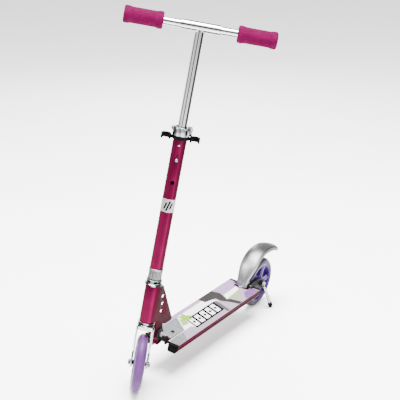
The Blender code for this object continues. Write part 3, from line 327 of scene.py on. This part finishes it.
def prism(outline, low, high, axis="x", holes=()):
    """An outline with its holes, drawn out along an axis."""
    shape = bmesh.new()
    loops = [list(outline)] + [list(hole) for hole in holes]
    triangles = tessellate_polygon([[Vector((u, v, 0)) for u, v in loop] for loop in loops])
    ends = []
    for w in (low, high):
        rings = [[shape.verts.new(AXES[axis](u, v, w)) for u, v in loop] for loop in loops]
        corners = [corner for ring in rings for corner in ring]
        for triangle in triangles:
            shape.faces.new([corners[i] for i in triangle])
        ends.append(rings)
    for near, far in zip(*ends):
        for i in range(len(near)):
            shape.faces.new((near[i - 1], near[i], far[i], far[i - 1]))
    return shape


def lathe(profile, sides=64, axis="z"):
    """A closed profile of radius and height, turned round an axis."""
    shape = bmesh.new()
    points = [shape.verts.new((r, 0, h)) for r, h in profile]
    for a, b in zip(points, points[1:] + points[:1]):
        if a.co.x > 0 or b.co.x > 0:
            shape.edges.new((a, b))
    bmesh.ops.spin(shape, geom=list(shape.verts) + list(shape.edges), cent=(0, 0, 0), axis=(0, 0, 1),
                   dvec=(0, 0, 0), angle=2 * math.pi, steps=sides, use_merge=True)
    bmesh.ops.remove_doubles(shape, verts=shape.verts, dist=0.001)
    turn = {"x": Matrix.Rotation(math.pi / 2, 4, "Y"), "y": Matrix.Rotation(-math.pi / 2, 4, "X"),
            "z": Matrix()}
    bmesh.ops.transform(shape, matrix=turn[axis], verts=shape.verts)
    return shape


def arc(centre, radius, start, end, steps):
    angles = np.radians(np.linspace(start, end, steps + 1))
    return [(centre[0] + radius * math.cos(a), centre[1] + radius * math.sin(a)) for a in angles]


def circle(centre, radius, sides=48):
    return arc(centre, radius, 0, 360, sides)[:-1]


def smooth_line(points, steps):
    """A smooth line through all of the points."""
    line = [Vector(p) for p in points]
    line = [2 * line[0] - line[1]] + line + [2 * line[-1] - line[-2]]
    result = []
    for a, b, c, d in zip(line, line[1:], line[2:], line[3:]):
        for i in range(steps):
            t = i / steps
            result.append(0.5 * (2 * b + (c - a) * t + (2 * a - 5 * b + 4 * c - d) * t ** 2
                                 + (3 * b - a - 3 * c + d) * t ** 3))
    return result + [line[-2]]


def soften(obj, width, segments=2, angle=32):
    """Rounds an object's sharp edges with a modifier."""
    bevel = obj.modifiers.new("edges", "BEVEL")
    bevel.width = width * MM
    bevel.segments = segments
    bevel.limit_method = "ANGLE"
    bevel.angle_limit = math.radians(angle)
    bevel.use_clamp_overlap = True


def piece(name, shape, place, body, material, replaces=(), edge=0.0, segments=2, angle=35):
    """Makes a piece from a bmesh in a frame's millimetres, riding on a body."""
    bmesh.ops.recalc_face_normals(shape, faces=shape.faces)
    bmesh.ops.transform(shape, matrix=place, verts=shape.verts)
    mesh = bpy.data.meshes.new(name)
    shape.to_mesh(mesh)
    shape.free()
    mesh.shade_smooth()
    mesh.set_sharp_from_angle(angle=math.radians(angle))
    made = bpy.data.objects.new(name, mesh)
    bpy.context.scene.collection.objects.link(made)
    made.data.materials.append(material)
    if edge:
        soften(made, edge, segments)
    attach(made, body)
    if replaces:
        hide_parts(*replaces)
    return made


def drill(made, hole, place):
    """Cuts a hole's shape out of a piece's mesh."""
    bmesh.ops.transform(hole, matrix=place, verts=hole.verts)
    bmesh.ops.recalc_face_normals(hole, faces=hole.faces)
    mesh = bpy.data.meshes.new("hole")
    hole.to_mesh(mesh)
    hole.free()
    tool = bpy.data.objects.new("hole", mesh)
    bpy.context.scene.collection.objects.link(tool)
    change = made.modifiers.new("hole", "BOOLEAN")
    change.operation = "DIFFERENCE"
    change.object = tool
    bpy.context.view_layer.update()
    made.data = bpy.data.meshes.new_from_object(made.evaluated_get(bpy.context.evaluated_depsgraph_get()))
    made.modifiers.clear()
    made.data.set_sharp_from_angle(angle=math.radians(35))
    bpy.data.objects.remove(tool)


# ---------------------------------------------------------------- carried-over CAD nodes

FINISHES = {
    MAGENTA: ["deck_platform", "head_tube", "head_gusset", "fold_tongue", "lower_stem_tube"],
    CHROME: ["upper_stem_tube"],
    CLAMP: ["stem_clamp", "clamp_skewer", "clamp_lever"],
    CHROME_LEVEL: ["left_handle_bar", "right_handle_bar"],
    PLATE: ["hinge_cover_plate"],
    CAST: ["fork"],
    CHROME_LEG: ["kickstand_leg"],
    SILVER: ["lower_headset_cup", "upper_headset_cup", "stem_collar", "height_snap_clip", "left_snap_clip",
             "right_snap_clip", "fender"],
    BOLT: ["front_axle_bolt", "front_axle_nut"],
    ZINC: ["fold_skewer", "fold_skewer_nut", "steerer_tube", "rear_axle_bolt", "rear_axle_nut",
           "brake_pivot_pin", "brake_spring", "kickstand_pivot_bolt", "rear_bearing_left",
           "rear_bearing_right"],
    DARK: ["front_bearing_left", "front_bearing_right", "plug_screw_left", "plug_screw_right", "hinge_screw",
           "hinge_bracket", "rear_bracket", "kickstand_bracket", "fold_lever", "collar_bolt_left",
           "collar_bolt_middle", "collar_bolt_right"],
    BLACK: ["rail_plug_front_left", "rail_plug_front_right", "rail_plug_rear_left", "rail_plug_rear_right",
            "stem_sleeve", "handle_clip", "kickstand_foot"],
    FOAM: ["left_grip", "right_grip"],
    LAVENDER: ["front_tyre"],
    LAVENDER_HUB: ["front_hub"],
    GREY_PU: ["rear_tyre"],
    PURPLE: ["rear_hub"],
    SHEET_OUTER: ["grip_sheet"],
}
EDGE = 0.3
EDGES = {"deck_platform": 0.8, "fork": 2.3, "head_gusset": 0.5, "hinge_bracket": 0.5, "fold_tongue": 1.2,
         "rear_bracket": 0.5, "hinge_cover_plate": 0.5, "stem_clamp": 0.7, "clamp_lever": 1.0,
         "fold_lever": 1.0,
         "handle_clip": 0.7, "rail_plug_front_left": 1.1, "rail_plug_front_right": 1.1,
         "rail_plug_rear_left": 1.1,
         "rail_plug_rear_right": 1.1, "kickstand_bracket": 0.5, "upper_stem_tube": 0.4,
         "lower_stem_tube": 0.3}


def dress_cad():
    """Gives each CAD node its finish, smooth shading and small rounded edges."""
    for material, names in FINISHES.items():
        for name in names:
            node = NODES[name]
            for slot in node.material_slots:
                slot.link = "OBJECT"
                slot.material = material
            for polygon in node.data.polygons:
                polygon.use_smooth = True
            weld = node.modifiers.new("weld", "WELD")
            weld.merge_threshold = 0.00002
            soften(node, EDGES.get(name, EDGE), 4 if name == "fork" else 2)
            split = node.modifiers.new("sharp", "EDGE_SPLIT")
            split.split_angle = math.radians(38)


# ---------------------------------------------------------------- wheels

def tyre(end, place, material):
    """A cast tyre: round tread with a mould line, a step down the wall and a bead beside the rim."""
    half = 13.0
    crown = [(WHEEL_R - half + half * math.cos(a),
              half * math.sin(a)) for a in np.radians(np.linspace(-78, 78, 25))]
    crown = [(r + (0.25 if abs(h) < 0.6 else 0), h) for r, h in crown]
    wall = [(61.0, 12.8), (60.3, 12.3), (59.6, 12.9), (58.2, 13.0), (57.2, 12.2)]
    profile = crown + wall + [(r, -h) for r, h in wall[::-1]]
    piece(f"{end}_tyre_cast", lathe(profile, 128, "x"), place, f"{end}_wheel", material,
          [f"{end}_tyre"], angle=50)


def hub(end, place, material):
    """A moulded hub: rim, five tapered spokes with a rib along each, and a boss round the bearings."""
    windows = []
    for i in range(SPOKES):
        turn = 360 / SPOKES * i
        outer = arc((0, 0), 49.3, turn + 10, turn + 62, 12)
        inner = arc((0, 0), 20.5, turn + 49, turn + 23, 6)
        windows.append(outer + inner)
    windows.append(circle((0, 0), 12.5))
    piece(f"{end}_hub_spokes", prism(circle((0, 0), 53, 96), -8, 8, "x", windows), place, f"{end}_wheel",
          material, [f"{end}_hub"], edge=1.6, segments=3)
    rim = [(52.2, -10.8), (53.2, -11.4), (56.0, -11.4), (56.7, -10.8), (56.7, 10.8), (56.0, 11.4),
           (53.2, 11.4), (52.2, 10.8), (51.4, 6), (51.4, -6)]
    piece(f"{end}_hub_rim", lathe(rim, 128, "x"), place, f"{end}_wheel", material)
    boss = [(6.6, -6.6), (11.15, -6.6), (11.15, -13.2), (11.7, -13.7), (14.6, -13.7), (16, -12), (17.5, -8),
            (17.5, 8), (16, 12), (14.6, 13.7), (11.7, 13.7), (11.15, 13.2), (11.15, 6.6), (6.6, 6.6)]
    piece(f"{end}_hub_boss", lathe(boss, 96, "x"), place, f"{end}_wheel", material)
    ribs = bmesh.new()
    for i in range(SPOKES):
        turn = Matrix.Rotation(math.radians(360 / SPOKES * i), 4, "X")
        for side in (-1, 1):
            rib = prism([(16.5, -1.3), (51.8, -1.7), (51.8, 1.7), (16.5, 1.3)],
                        *sorted((side * 7.5, side * 9.6)))
            bmesh.ops.transform(rib, matrix=turn, verts=rib.verts)
            copy = bpy.data.meshes.new("rib")
            rib.to_mesh(copy)
            rib.free()
            ribs.from_mesh(copy)
            bpy.data.meshes.remove(copy)
    piece(f"{end}_hub_ribs", ribs, place, f"{end}_wheel", material, edge=0.5)


def bearings(end, place):
    """Each bearing: two rings with a dished shield between them."""
    for side, word in ((1, "left"), (-1, "right")):
        rings = [(4.08, 7.1), (10.9, 7.1), (10.9, 13.6), (10.6, 13.9), (9.4, 13.9), (9.1, 13.4), (6.7, 13.2),
                 (6.4, 13.9), (6.0, 14.1), (6.0, 16.3), (5.7, 16.6), (4.08, 16.6)]
        shape = lathe([(r, side * h) for r, h in rings], 48, "x")
        piece(f"{end}_bearing_{word}_shielded", shape, place, f"{end}_wheel",
              DARK if end == "front" else ZINC, [f"{end}_bearing_{word}"], angle=30)


# ---------------------------------------------------------------- bars and stem

def grips():
    """Foam sleeves, thicker at both ends, with a closed, domed outer end and a moulded groove by each lip."""
    waist, swell = 18.75, 1.65
    start, stop = 86.5, 177.3
    for side, word in ((1, "left"), (-1, "right")):
        outer = []
        for t in np.linspace(0.035, 0.965, 44):
            radius = waist + swell * (0.5 + 0.5 * math.tanh((abs(t - 0.5) - 0.34) * 60))
            for groove in (0.14, 0.86):
                radius -= 0.55 * math.exp(-((t - groove) / 0.008) ** 2)
            outer.append((radius, start + (stop - start) * t))
        inner = [(10.1, start + 0.4), (10.6, start), (17.6, start), (19.6, start + 0.8)]
        dome = [(19.4, stop - 1.0), (18.4, stop - 0.1), (16.5, stop + 0.5), (9, stop + 0.8), (0, stop + 0.9),
                (0, stop - 1.0), (10.1, stop - 1.0)]
        shape = lathe([(r, side * h) for r, h in inner + outer + dome], 96, "x")
        made = piece(f"{word}_grip_foam", shape, BARS, f"{word}_handle", FOAM,
                     [f"{word}_grip"], angle=60)


def chrome_tee():
    """The telescopic tube and the cross tube welded on its top, each rim turned over and polished."""
    tube = [(9.4, 482.5), (10, 482), (10.6, 482), (11, 482.5), (11, 826), (9.4, 826)]
    upright = piece("chrome_tube", lathe(tube, 96), STEER, "upper_stem", CHROME,
                    ["upper_stem_tube"])
    drill(upright, lathe([(0, -20), (4.0, -20), (4.0, 0), (0, 0)], 40, "y"),
          STEER @ Matrix.Translation((0, 0, 519)))
    cross = [(10.0, -46.5), (11.4, -46.5), (12, -45.9), (12, 45.9), (11.4, 46.5), (10.0, 46.5)]
    level = piece("cross_tube", lathe(cross, 96, "x"), BARS, "upper_stem", CHROME_LEVEL)
    for side in (-1, 1):
        drill(level, lathe([(0, -20), (3.6, -20), (3.6, 0), (0, 0)], 40),
              BARS @ Matrix.Translation((36 * side, 0, 0)))
    weld = bmesh.new()
    rings = []
    for i in range(72):
        a = 2 * math.pi * i / 72
        drop = math.sqrt(CROSS_R ** 2 - (CHROME_R * math.sin(a)) ** 2)
        ripple = 0.18 * math.sin(18 * a)
        rings.append([weld.verts.new(((CHROME_R + u) * math.cos(a), (CHROME_R + u) * math.sin(a), -drop + v))
                      for u, v in ((-0.6, 0.6), (1.5 + ripple, 0.5), (1.1 + ripple, -0.9), (0.2, -1.8),
                                   (-0.6, -1.6))])
    for near, far in zip(rings, rings[1:] + rings[:1]):
        for k in range(5):
            weld.faces.new((near[k - 1], near[k], far[k], far[k - 1]))
    piece("tee_weld", weld, BARS, "upper_stem", CHROME, angle=60)


def on_front(height):
    """A place on the front of the lower stem, its y outward."""
    return STEER @ Matrix.Translation((0, -STEM_R, height)) @ Matrix.Rotation(math.pi, 4, "Z")


def stem_details():
    """The foil band with its printed marks, a small black disc painted as a hole's shade, and the rivet above
    it.
    """
    band = [(16.32, 391), (16.48, 391.2), (16.48, 422.8), (16.32, 423)]
    piece("stem_band", lathe(band, 96), STEER, "steering", FOIL, angle=20)
    marks = bmesh.new()
    for offset, low, high in ((-7, 399, 415), (0, 394.5, 419.5), (7, 399, 415)):
        rows = []
        for i in range(9):
            h = low + (high - low) * i / 8
            slant = (h - 407) * 0.28
            rows.append([marks.verts.new((16.6 * math.sin((offset + slant + s) / 16.5),
                                          -16.6 * math.cos((offset + slant + s) / 16.5), h))
                         for s in np.linspace(-2.3, 2.3, 5)])
        for near, far in zip(rows, rows[1:]):
            for k in range(4):
                marks.faces.new((near[k], near[k + 1], far[k + 1], far[k]))
    bmesh.ops.solidify(marks, geom=marks.faces, thickness=0.12)
    piece("stem_band_marks", marks, STEER, "steering", BLACK)
    # a black disc: painted shade standing in for a hole
    piece("stem_hole_shade", lathe([(0, -0.25), (2.3, -0.25), (2.3, 0.1), (0, 0.1)], 24, "y"), on_front(531.5),
          "steering", BLACK)
    piece("clip_rivet", lathe([(0, 0), (2.4, 0), (2.2, 0.7), (1.3, 1.2), (0, 1.35)], 24, "y"), on_front(556),
          "steering", CHROME)


def collar():
    """The cast collar: fluted waist between two turned rings."""
    sides = 192
    shape = bmesh.new()
    levels = [(207.3, 18.2, 0), (207.9, 19.0, 0), (215.9, 19.0, 0), (216.5, 18.4, 0), (216.6, 15.6, 0),
              (217.6, 15.6, 0), (218.4, 16.2, 1.0), (238.2, 16.2, 1.0), (239.2, 16.6, 0), (239.8, 17.3, 0),
              (240.2, 17.6, 0), (244.5, 17.6, 0), (244.9, 17.2, 0)]
    rings = []
    for h, r, flute in levels:
        rings.append([])
        for i in range(sides):
            a = 2 * math.pi * i / sides
            radius = r + flute * 0.55 * max(-1, min(1, 2.2 * math.sin(16 * a)))
            rings[-1].append(shape.verts.new((radius * math.cos(a), radius * math.sin(a), h)))
    bore = 11.3
    for h in (244.9, 207.3):
        rings.append([shape.verts.new((bore * math.cos(2 * math.pi * i / sides),
                                       bore * math.sin(2 * math.pi * i / sides), h)) for i in range(sides)])
    rings.append(rings[0])
    for near, far in zip(rings, rings[1:]):
        for i in range(sides):
            shape.faces.new((near[i - 1], near[i], far[i], far[i - 1]))
    made = piece("stem_collar_cast", shape, STEER, "steering", WAIST, ["stem_collar"],
                 angle=40)
    seal = lathe([(15.5, 216.65), (16.9, 216.65), (16.9, 217.55), (15.5, 217.55)], 96)
    piece("stem_collar_seal", seal, STEER, "steering", BLACK)
    for angle in (-132, -78, -48):
        hole = prism(arc((2.2, 0), 3.4, -90, 90, 12) + arc((-2.2, 0), 3.4, 90, 270, 12), 12.4, 25, "y")
        bmesh.ops.transform(hole, matrix=Matrix.Translation((0, 0, 211.9)) @ Matrix.Rotation(-math.pi / 2, 4,
                                                                                             "Z"),
                            verts=hole.verts)
        drill(made, hole, STEER @ Matrix.Rotation(math.radians(angle), 4, "Z"))


def cups():
    """The headset's two pressed cups, each with bright rolled lips, the lower one round a dark seal."""
    low = [(12.4, 94.1), (19.4, 94.1), (20.8, 95.3), (20.8, 97.6), (20.2, 98.2), (18.6, 98.4), (18.6, 101.4),
           (20.2, 101.6), (20.8, 102.2), (20.8, 104.4), (20.2, 105.3), (19.4, 105.6), (12.4, 105.6),
           (12.4, 115.9), (11.2, 115.9), (11.2, 94.6)]
    high = [(11.2, 191.1), (12.2, 191.1), (12.2, 201.7), (20.4, 201.7), (21.3, 202.4), (21.3, 203.3),
            (20.5, 203.7), (20.5, 204.5), (21.3, 204.9), (21.3, 205.6), (20.2, 206.7), (11.2, 206.7)]
    piece("lower_cup_turned", lathe(low, 96), STEER, "head", CAST, ["lower_headset_cup"],
          angle=30)
    piece("upper_cup_turned", lathe(high, 96), STEER, "head", CAST, ["upper_headset_cup"],
          angle=30)
    piece("lower_cup_seal", lathe([(18.4, 98.5), (19.9, 98.7), (19.9, 101.1), (18.4, 101.3)], 96), STEER,
          "head", BLACK)


# ---------------------------------------------------------------- deck

def decal(name, outline, material, layer=1):
    """A printed area of the sheet, a coat of ink above what lies under it."""
    low = SHEET_TOP + INK * (layer - 1)
    piece(name, prism(outline, low, low + INK, "z"), DECK, "deck", material)


def star(centre, outer, inner, turn):
    """The corners of a five-pointed star."""
    points = []
    for i in range(10):
        a = math.radians(turn + 36 * i)
        r = outer if i % 2 == 0 else inner
        points.append((centre[0] + r * math.cos(a), centre[1] + r * math.sin(a)))
    return points


def grip_prints():
    """The sheet's printed areas: grey and pale fields, a rule, a star, slanted blocks, a wave and a bar."""
    decal("print_grey_field", [(-36, 127), (-17.2, 127), (-17.2, 189), (16.8, 189), (16.8, 194), (-36, 240)],
          SHEET_GREY)
    decal("print_green_corner", [(-48.5, 116.5), (-20, 116.5), (-20, 127), (-34, 127), (-48.5, 152)],
          SHEET_GREEN, 2)
    decal("print_front_field", [(20.6, 118), (48.5, 118), (48.5, 158), (20.6, 182)], SHEET_GREY, 2)
    decal("print_rule", [(17.2, 118), (18.6, 118), (18.6, 226), (17.2, 226)], SHEET_WHITE, 2)
    decal("print_rule_shadow", [(18.6, 118), (19.8, 118), (19.8, 224), (18.6, 226)], SHEET_DARK, 2)
    decal("print_pale_field", [(-36, 242), (17, 196), (17, 226), (30, 232), (30, 372), (-8, 404), (-21, 398),
                               (-36, 372)], SHEET_WHITE)
    decal("print_lilac_band", [(-48.5, 258), (-38, 250), (-38, 368), (-48.5, 368)], SHEET_LILAC)
    decal("print_star", star((-19, 256), 24, 11.5, 78), SHEET_GREEN, 4)
    decal("print_star_tail", [(-26, 236), (2, 212), (6, 232), (-12, 256)], SHEET_PALE_GREEN, 3)
    decal("print_block_ground", [(34, 230), (34, 374), (-11, 392), (-11, 246)], SHEET_BLACK, 2)
    for i in range(5):
        y = 237 + 27 * i
        decal(f"print_block_{i + 1}", [(28, y + 1), (28, y + 19), (-5, y + 31), (-5, y + 13)], SHEET_WHITE, 3)
        decal(f"print_block_mark_{i + 1}", [(12, y + 9), (18, y + 14), (11, y + 23), (5, y + 18)],
              SHEET_BLACK, 4)
    decal("print_wave", [(-48.5, 370), (-48.5, 440), (-24, 447), (2, 434), (24, 440), (48.5, 446),
                         (48.5, 428), (24, 420), (2, 408), (-16, 410), (-25, 368)], SHEET_DARK, 3)
    decal("print_bar", [(-12, 388), (-8, 400), (48.4, 380), (45, 368)], SHEET_SLATE, 4)
    decal("print_white_band", [(-10, 443), (-12, 516), (3, 507), (8.7, 429)], SHEET_WHITE, 4)
    decal("print_green_band", [(8.7, 429), (7, 500), (21, 480), (23.5, 447)], SHEET_PALE_GREEN, 4)
    decal("print_lilac_field", [(-48.5, 445), (-22, 452), (-16, 517), (-23.2, 517), (-23.2, 539),
                                (-48.5, 539)], SHEET_LILAC, 2)
    decal("print_violet_field", [(36, 482), (48.5, 470), (48.5, 539), (23.2, 539), (23.2, 500)],
          SHEET_VIOLET, 2)
    for side, word in ((1, "left"), (-1, "right")):
        rear = [(side * x, y) for x, y in ((22.8, 542), (48.6, 542), (48.6, 548.6), (22.8, 548.6))]
        decal(f"print_rear_edge_{word}", rear, SHEET_BLACK, 2)
        # a black strip along the sheet's front edge: painted shadow
        front = [(side * x, y) for x, y in ((17.2, 114.9), (48.6, 114.9), (48.6, 116.9), (17.2, 116.9))]
        decal(f"front_edge_shadow_print_{word}", front, SHEET_BLACK, 3)


def front_edge_shadow_strips():
    """Black strips over the plate's front edge, on both sides of the fold: painted shadow along that edge."""
    for side, word in ((1, "left"), (-1, "right")):
        near, far = sorted((side * 17.6, side * 50.6))
        lip = prism([(near, 113.3), (far, 113.3), (far, 115.6), (near, 115.6)], 87.2, 90.5, "z")
        piece(f"front_edge_shadow_strips_{word}", lip, DECK, "deck", BLACK, edge=0.4)


# ---------------------------------------------------------------- fender

def fender():
    """The pressed fender: a crowned strip with rolled rims that widens to its tip, and an ear each side."""
    side_view = ((521, 92.6), (525, 112), (533, 131), (547, 152.5), (568, 172.5), (594, 183.6), (622, 186.4),
                 (654, 182.4), (689, 171))
    line = smooth_line([(0, y, z) for y, z in side_view], 14)
    tip = 10.0
    shape = bmesh.new()
    rings = []
    for i, here in enumerate(line):
        along = (line[min(i + 1, len(line) - 1)] - line[max(i - 1, 0)]).normalized()
        out = Vector((0, -along.z, along.y))
        full = 1.0 if i > len(line) / 2 else min(1.0, max(0.0, (here.z - 112) / 40))
        wide = 16.4 + 8.6 * full
        to_tip = (line[-1] - here).length
        if to_tip < tip:
            wide = 17 + 8 * math.sqrt(max(0.0, 1 - ((tip - to_tip) / tip) ** 2))
        edge, fall = 8.0 + 5.5 * full, 3.7 + 4.3 * full
        outside = [(wide, edge), (wide + 0.15, edge - 1.2), (wide, edge - 2.8)]
        outside += [(wide * math.sin(a), fall * (1 - math.cos(a))) for a in np.radians(np.linspace(90, 0,
                                                                                                   11))]
        inside = [((wide - 1.8) * x / wide, d + 1.8) for x, d in outside]
        inside[0] = (wide - 1.8, edge)
        ring = [(-x, d) for x, d in outside] + outside[-2::-1] + inside + [(-x, d) for x, d in inside[-2::-1]]
        rings.append([shape.verts.new(here + Vector((x, 0, 0)) - out * d) for x, d in ring])
    count = len(rings[0])
    for near, far in zip(rings, rings[1:]):
        for k in range(count):
            shape.faces.new((near[k - 1], near[k], far[k], far[k - 1]))
    for ring in (rings[0], rings[-1]):
        half = count // 2
        for a in range(half - 1):
            shape.faces.new((ring[a], ring[a + 1], ring[count - 2 - a], ring[count - 1 - a]))
    piece("fender_pressed", shape, DECK, "brake", BRUSHED, ["fender"], angle=45)
    y, z = 541.0, 93.0
    ear = [(y - 18.6, z - 0.8)] + [(y + u, z + v) for u, v in arc((0, 0), 7.5, -120, 60, 16)]
    ear += [(y - 7, z + 20), (y - 12.2, z + 16.2)]
    for low, high, word in ((14.4, 16.2, "left"), (-16.2, -14.4, "right")):
        piece(f"fender_ear_{word}", prism(ear, low, high, "x", [circle((y, z), 3.1, 24)]), DECK, "brake",
              BRUSHED, edge=0.3)


# ---------------------------------------------------------------- studio

def studio():
    """A camera at the scooter's front left, a pale floor and soft light from above and from three sides."""
    camera = bpy.data.objects.new("camera", bpy.data.cameras.new("camera"))
    bpy.context.scene.collection.objects.link(camera)
    camera.data.lens = 108.9
    camera.data.sensor_width = 36.0
    az, el = math.radians(30.96), math.radians(17.95)
    back = Vector((math.sin(az) * math.cos(el), -math.cos(az) * math.cos(el), math.sin(el)))
    camera.location = DECK.translation + Vector((1.5365, -2.2378, 1.3662))
    camera.rotation_mode = "QUATERNION"
    camera.rotation_quaternion = back.to_track_quat("Z", "Y") @ Quaternion((0, 0, 1), math.radians(-0.16))
    camera.data.clip_end = 100
    bpy.context.scene.camera = camera

    floor_mesh = bpy.data.meshes.new("floor")
    reach = 45.0
    floor_mesh.from_pydata([(-reach, -reach, 0), (reach, -reach, 0), (reach, reach, 0), (-reach, reach, 0)],
                           [], [(0, 1, 2, 3)])
    floor = bpy.data.objects.new("floor", floor_mesh)
    bpy.context.scene.collection.objects.link(floor)
    floor_mesh.materials.append(surface("pale_floor", (0.93, 0.93, 0.93), (0.90, 0.90, 0.90), (0.7, 0.85),
                                        grain=2))

    world = bpy.data.worlds.new("studio")
    bpy.context.scene.world = world
    world.use_nodes = True
    nodes, links = world.node_tree.nodes, world.node_tree.links
    back_light = nodes["Background"]
    back_light.inputs["Strength"].default_value = 1.75
    place = nodes.new("ShaderNodeTexCoord")
    part = nodes.new("ShaderNodeSeparateXYZ")
    links.new(place.outputs["Generated"], part.inputs["Vector"])
    ramp = nodes.new("ShaderNodeValToRGB")
    ramp.color_ramp.elements[0].color = (0.62, 0.62, 0.63, 1)
    ramp.color_ramp.elements[0].position = 0.0
    ramp.color_ramp.elements[1].color = (1, 1, 1, 1)
    ramp.color_ramp.elements[1].position = 0.5
    links.new(part.outputs["Z"], ramp.inputs["Fac"])
    links.new(ramp.outputs["Color"], back_light.inputs["Color"])

    def softbox(name, place, size, power, target=(0, 0, 0.45)):
        light = bpy.data.lights.new(name, "AREA")
        light.shape = "RECTANGLE"
        light.size, light.size_y = size
        light.energy = power
        lamp = bpy.data.objects.new(name, light)
        bpy.context.scene.collection.objects.link(lamp)
        lamp.location = place
        lamp.rotation_mode = "QUATERNION"
        lamp.rotation_quaternion = (Vector(target) - Vector(place)).to_track_quat("-Z", "Y")

    softbox("top", (0, 0.1, 3.1), (2.2, 2.2), 760)
    softbox("key", (-1.6, -1.8, 2.6), (1.4, 1.4), 45)
    softbox("side", (2.6, -0.4, 1.6), (0.7, 2.4), 60)
    softbox("rim", (-1.8, 2.4, 1.8), (0.6, 2.2), 50)


dress_cad()
for END, PLACE, TYRE, TYRE_SLOT, HUB, HUB_SLOT in (
        ("front", FRONT, LAVENDER, "lavender_urethane", LAVENDER_HUB, "lavender_urethane"),
        ("rear", REAR, GREY_PU, "grey_urethane", PURPLE, "purple_plastic")):
    tyre(END, PLACE, TYRE)
    hub(END, PLACE, HUB)
    bearings(END, PLACE)
grips()
chrome_tee()
stem_details()
collar()
cups()
grip_prints()
front_edge_shadow_strips()
fender()
studio()
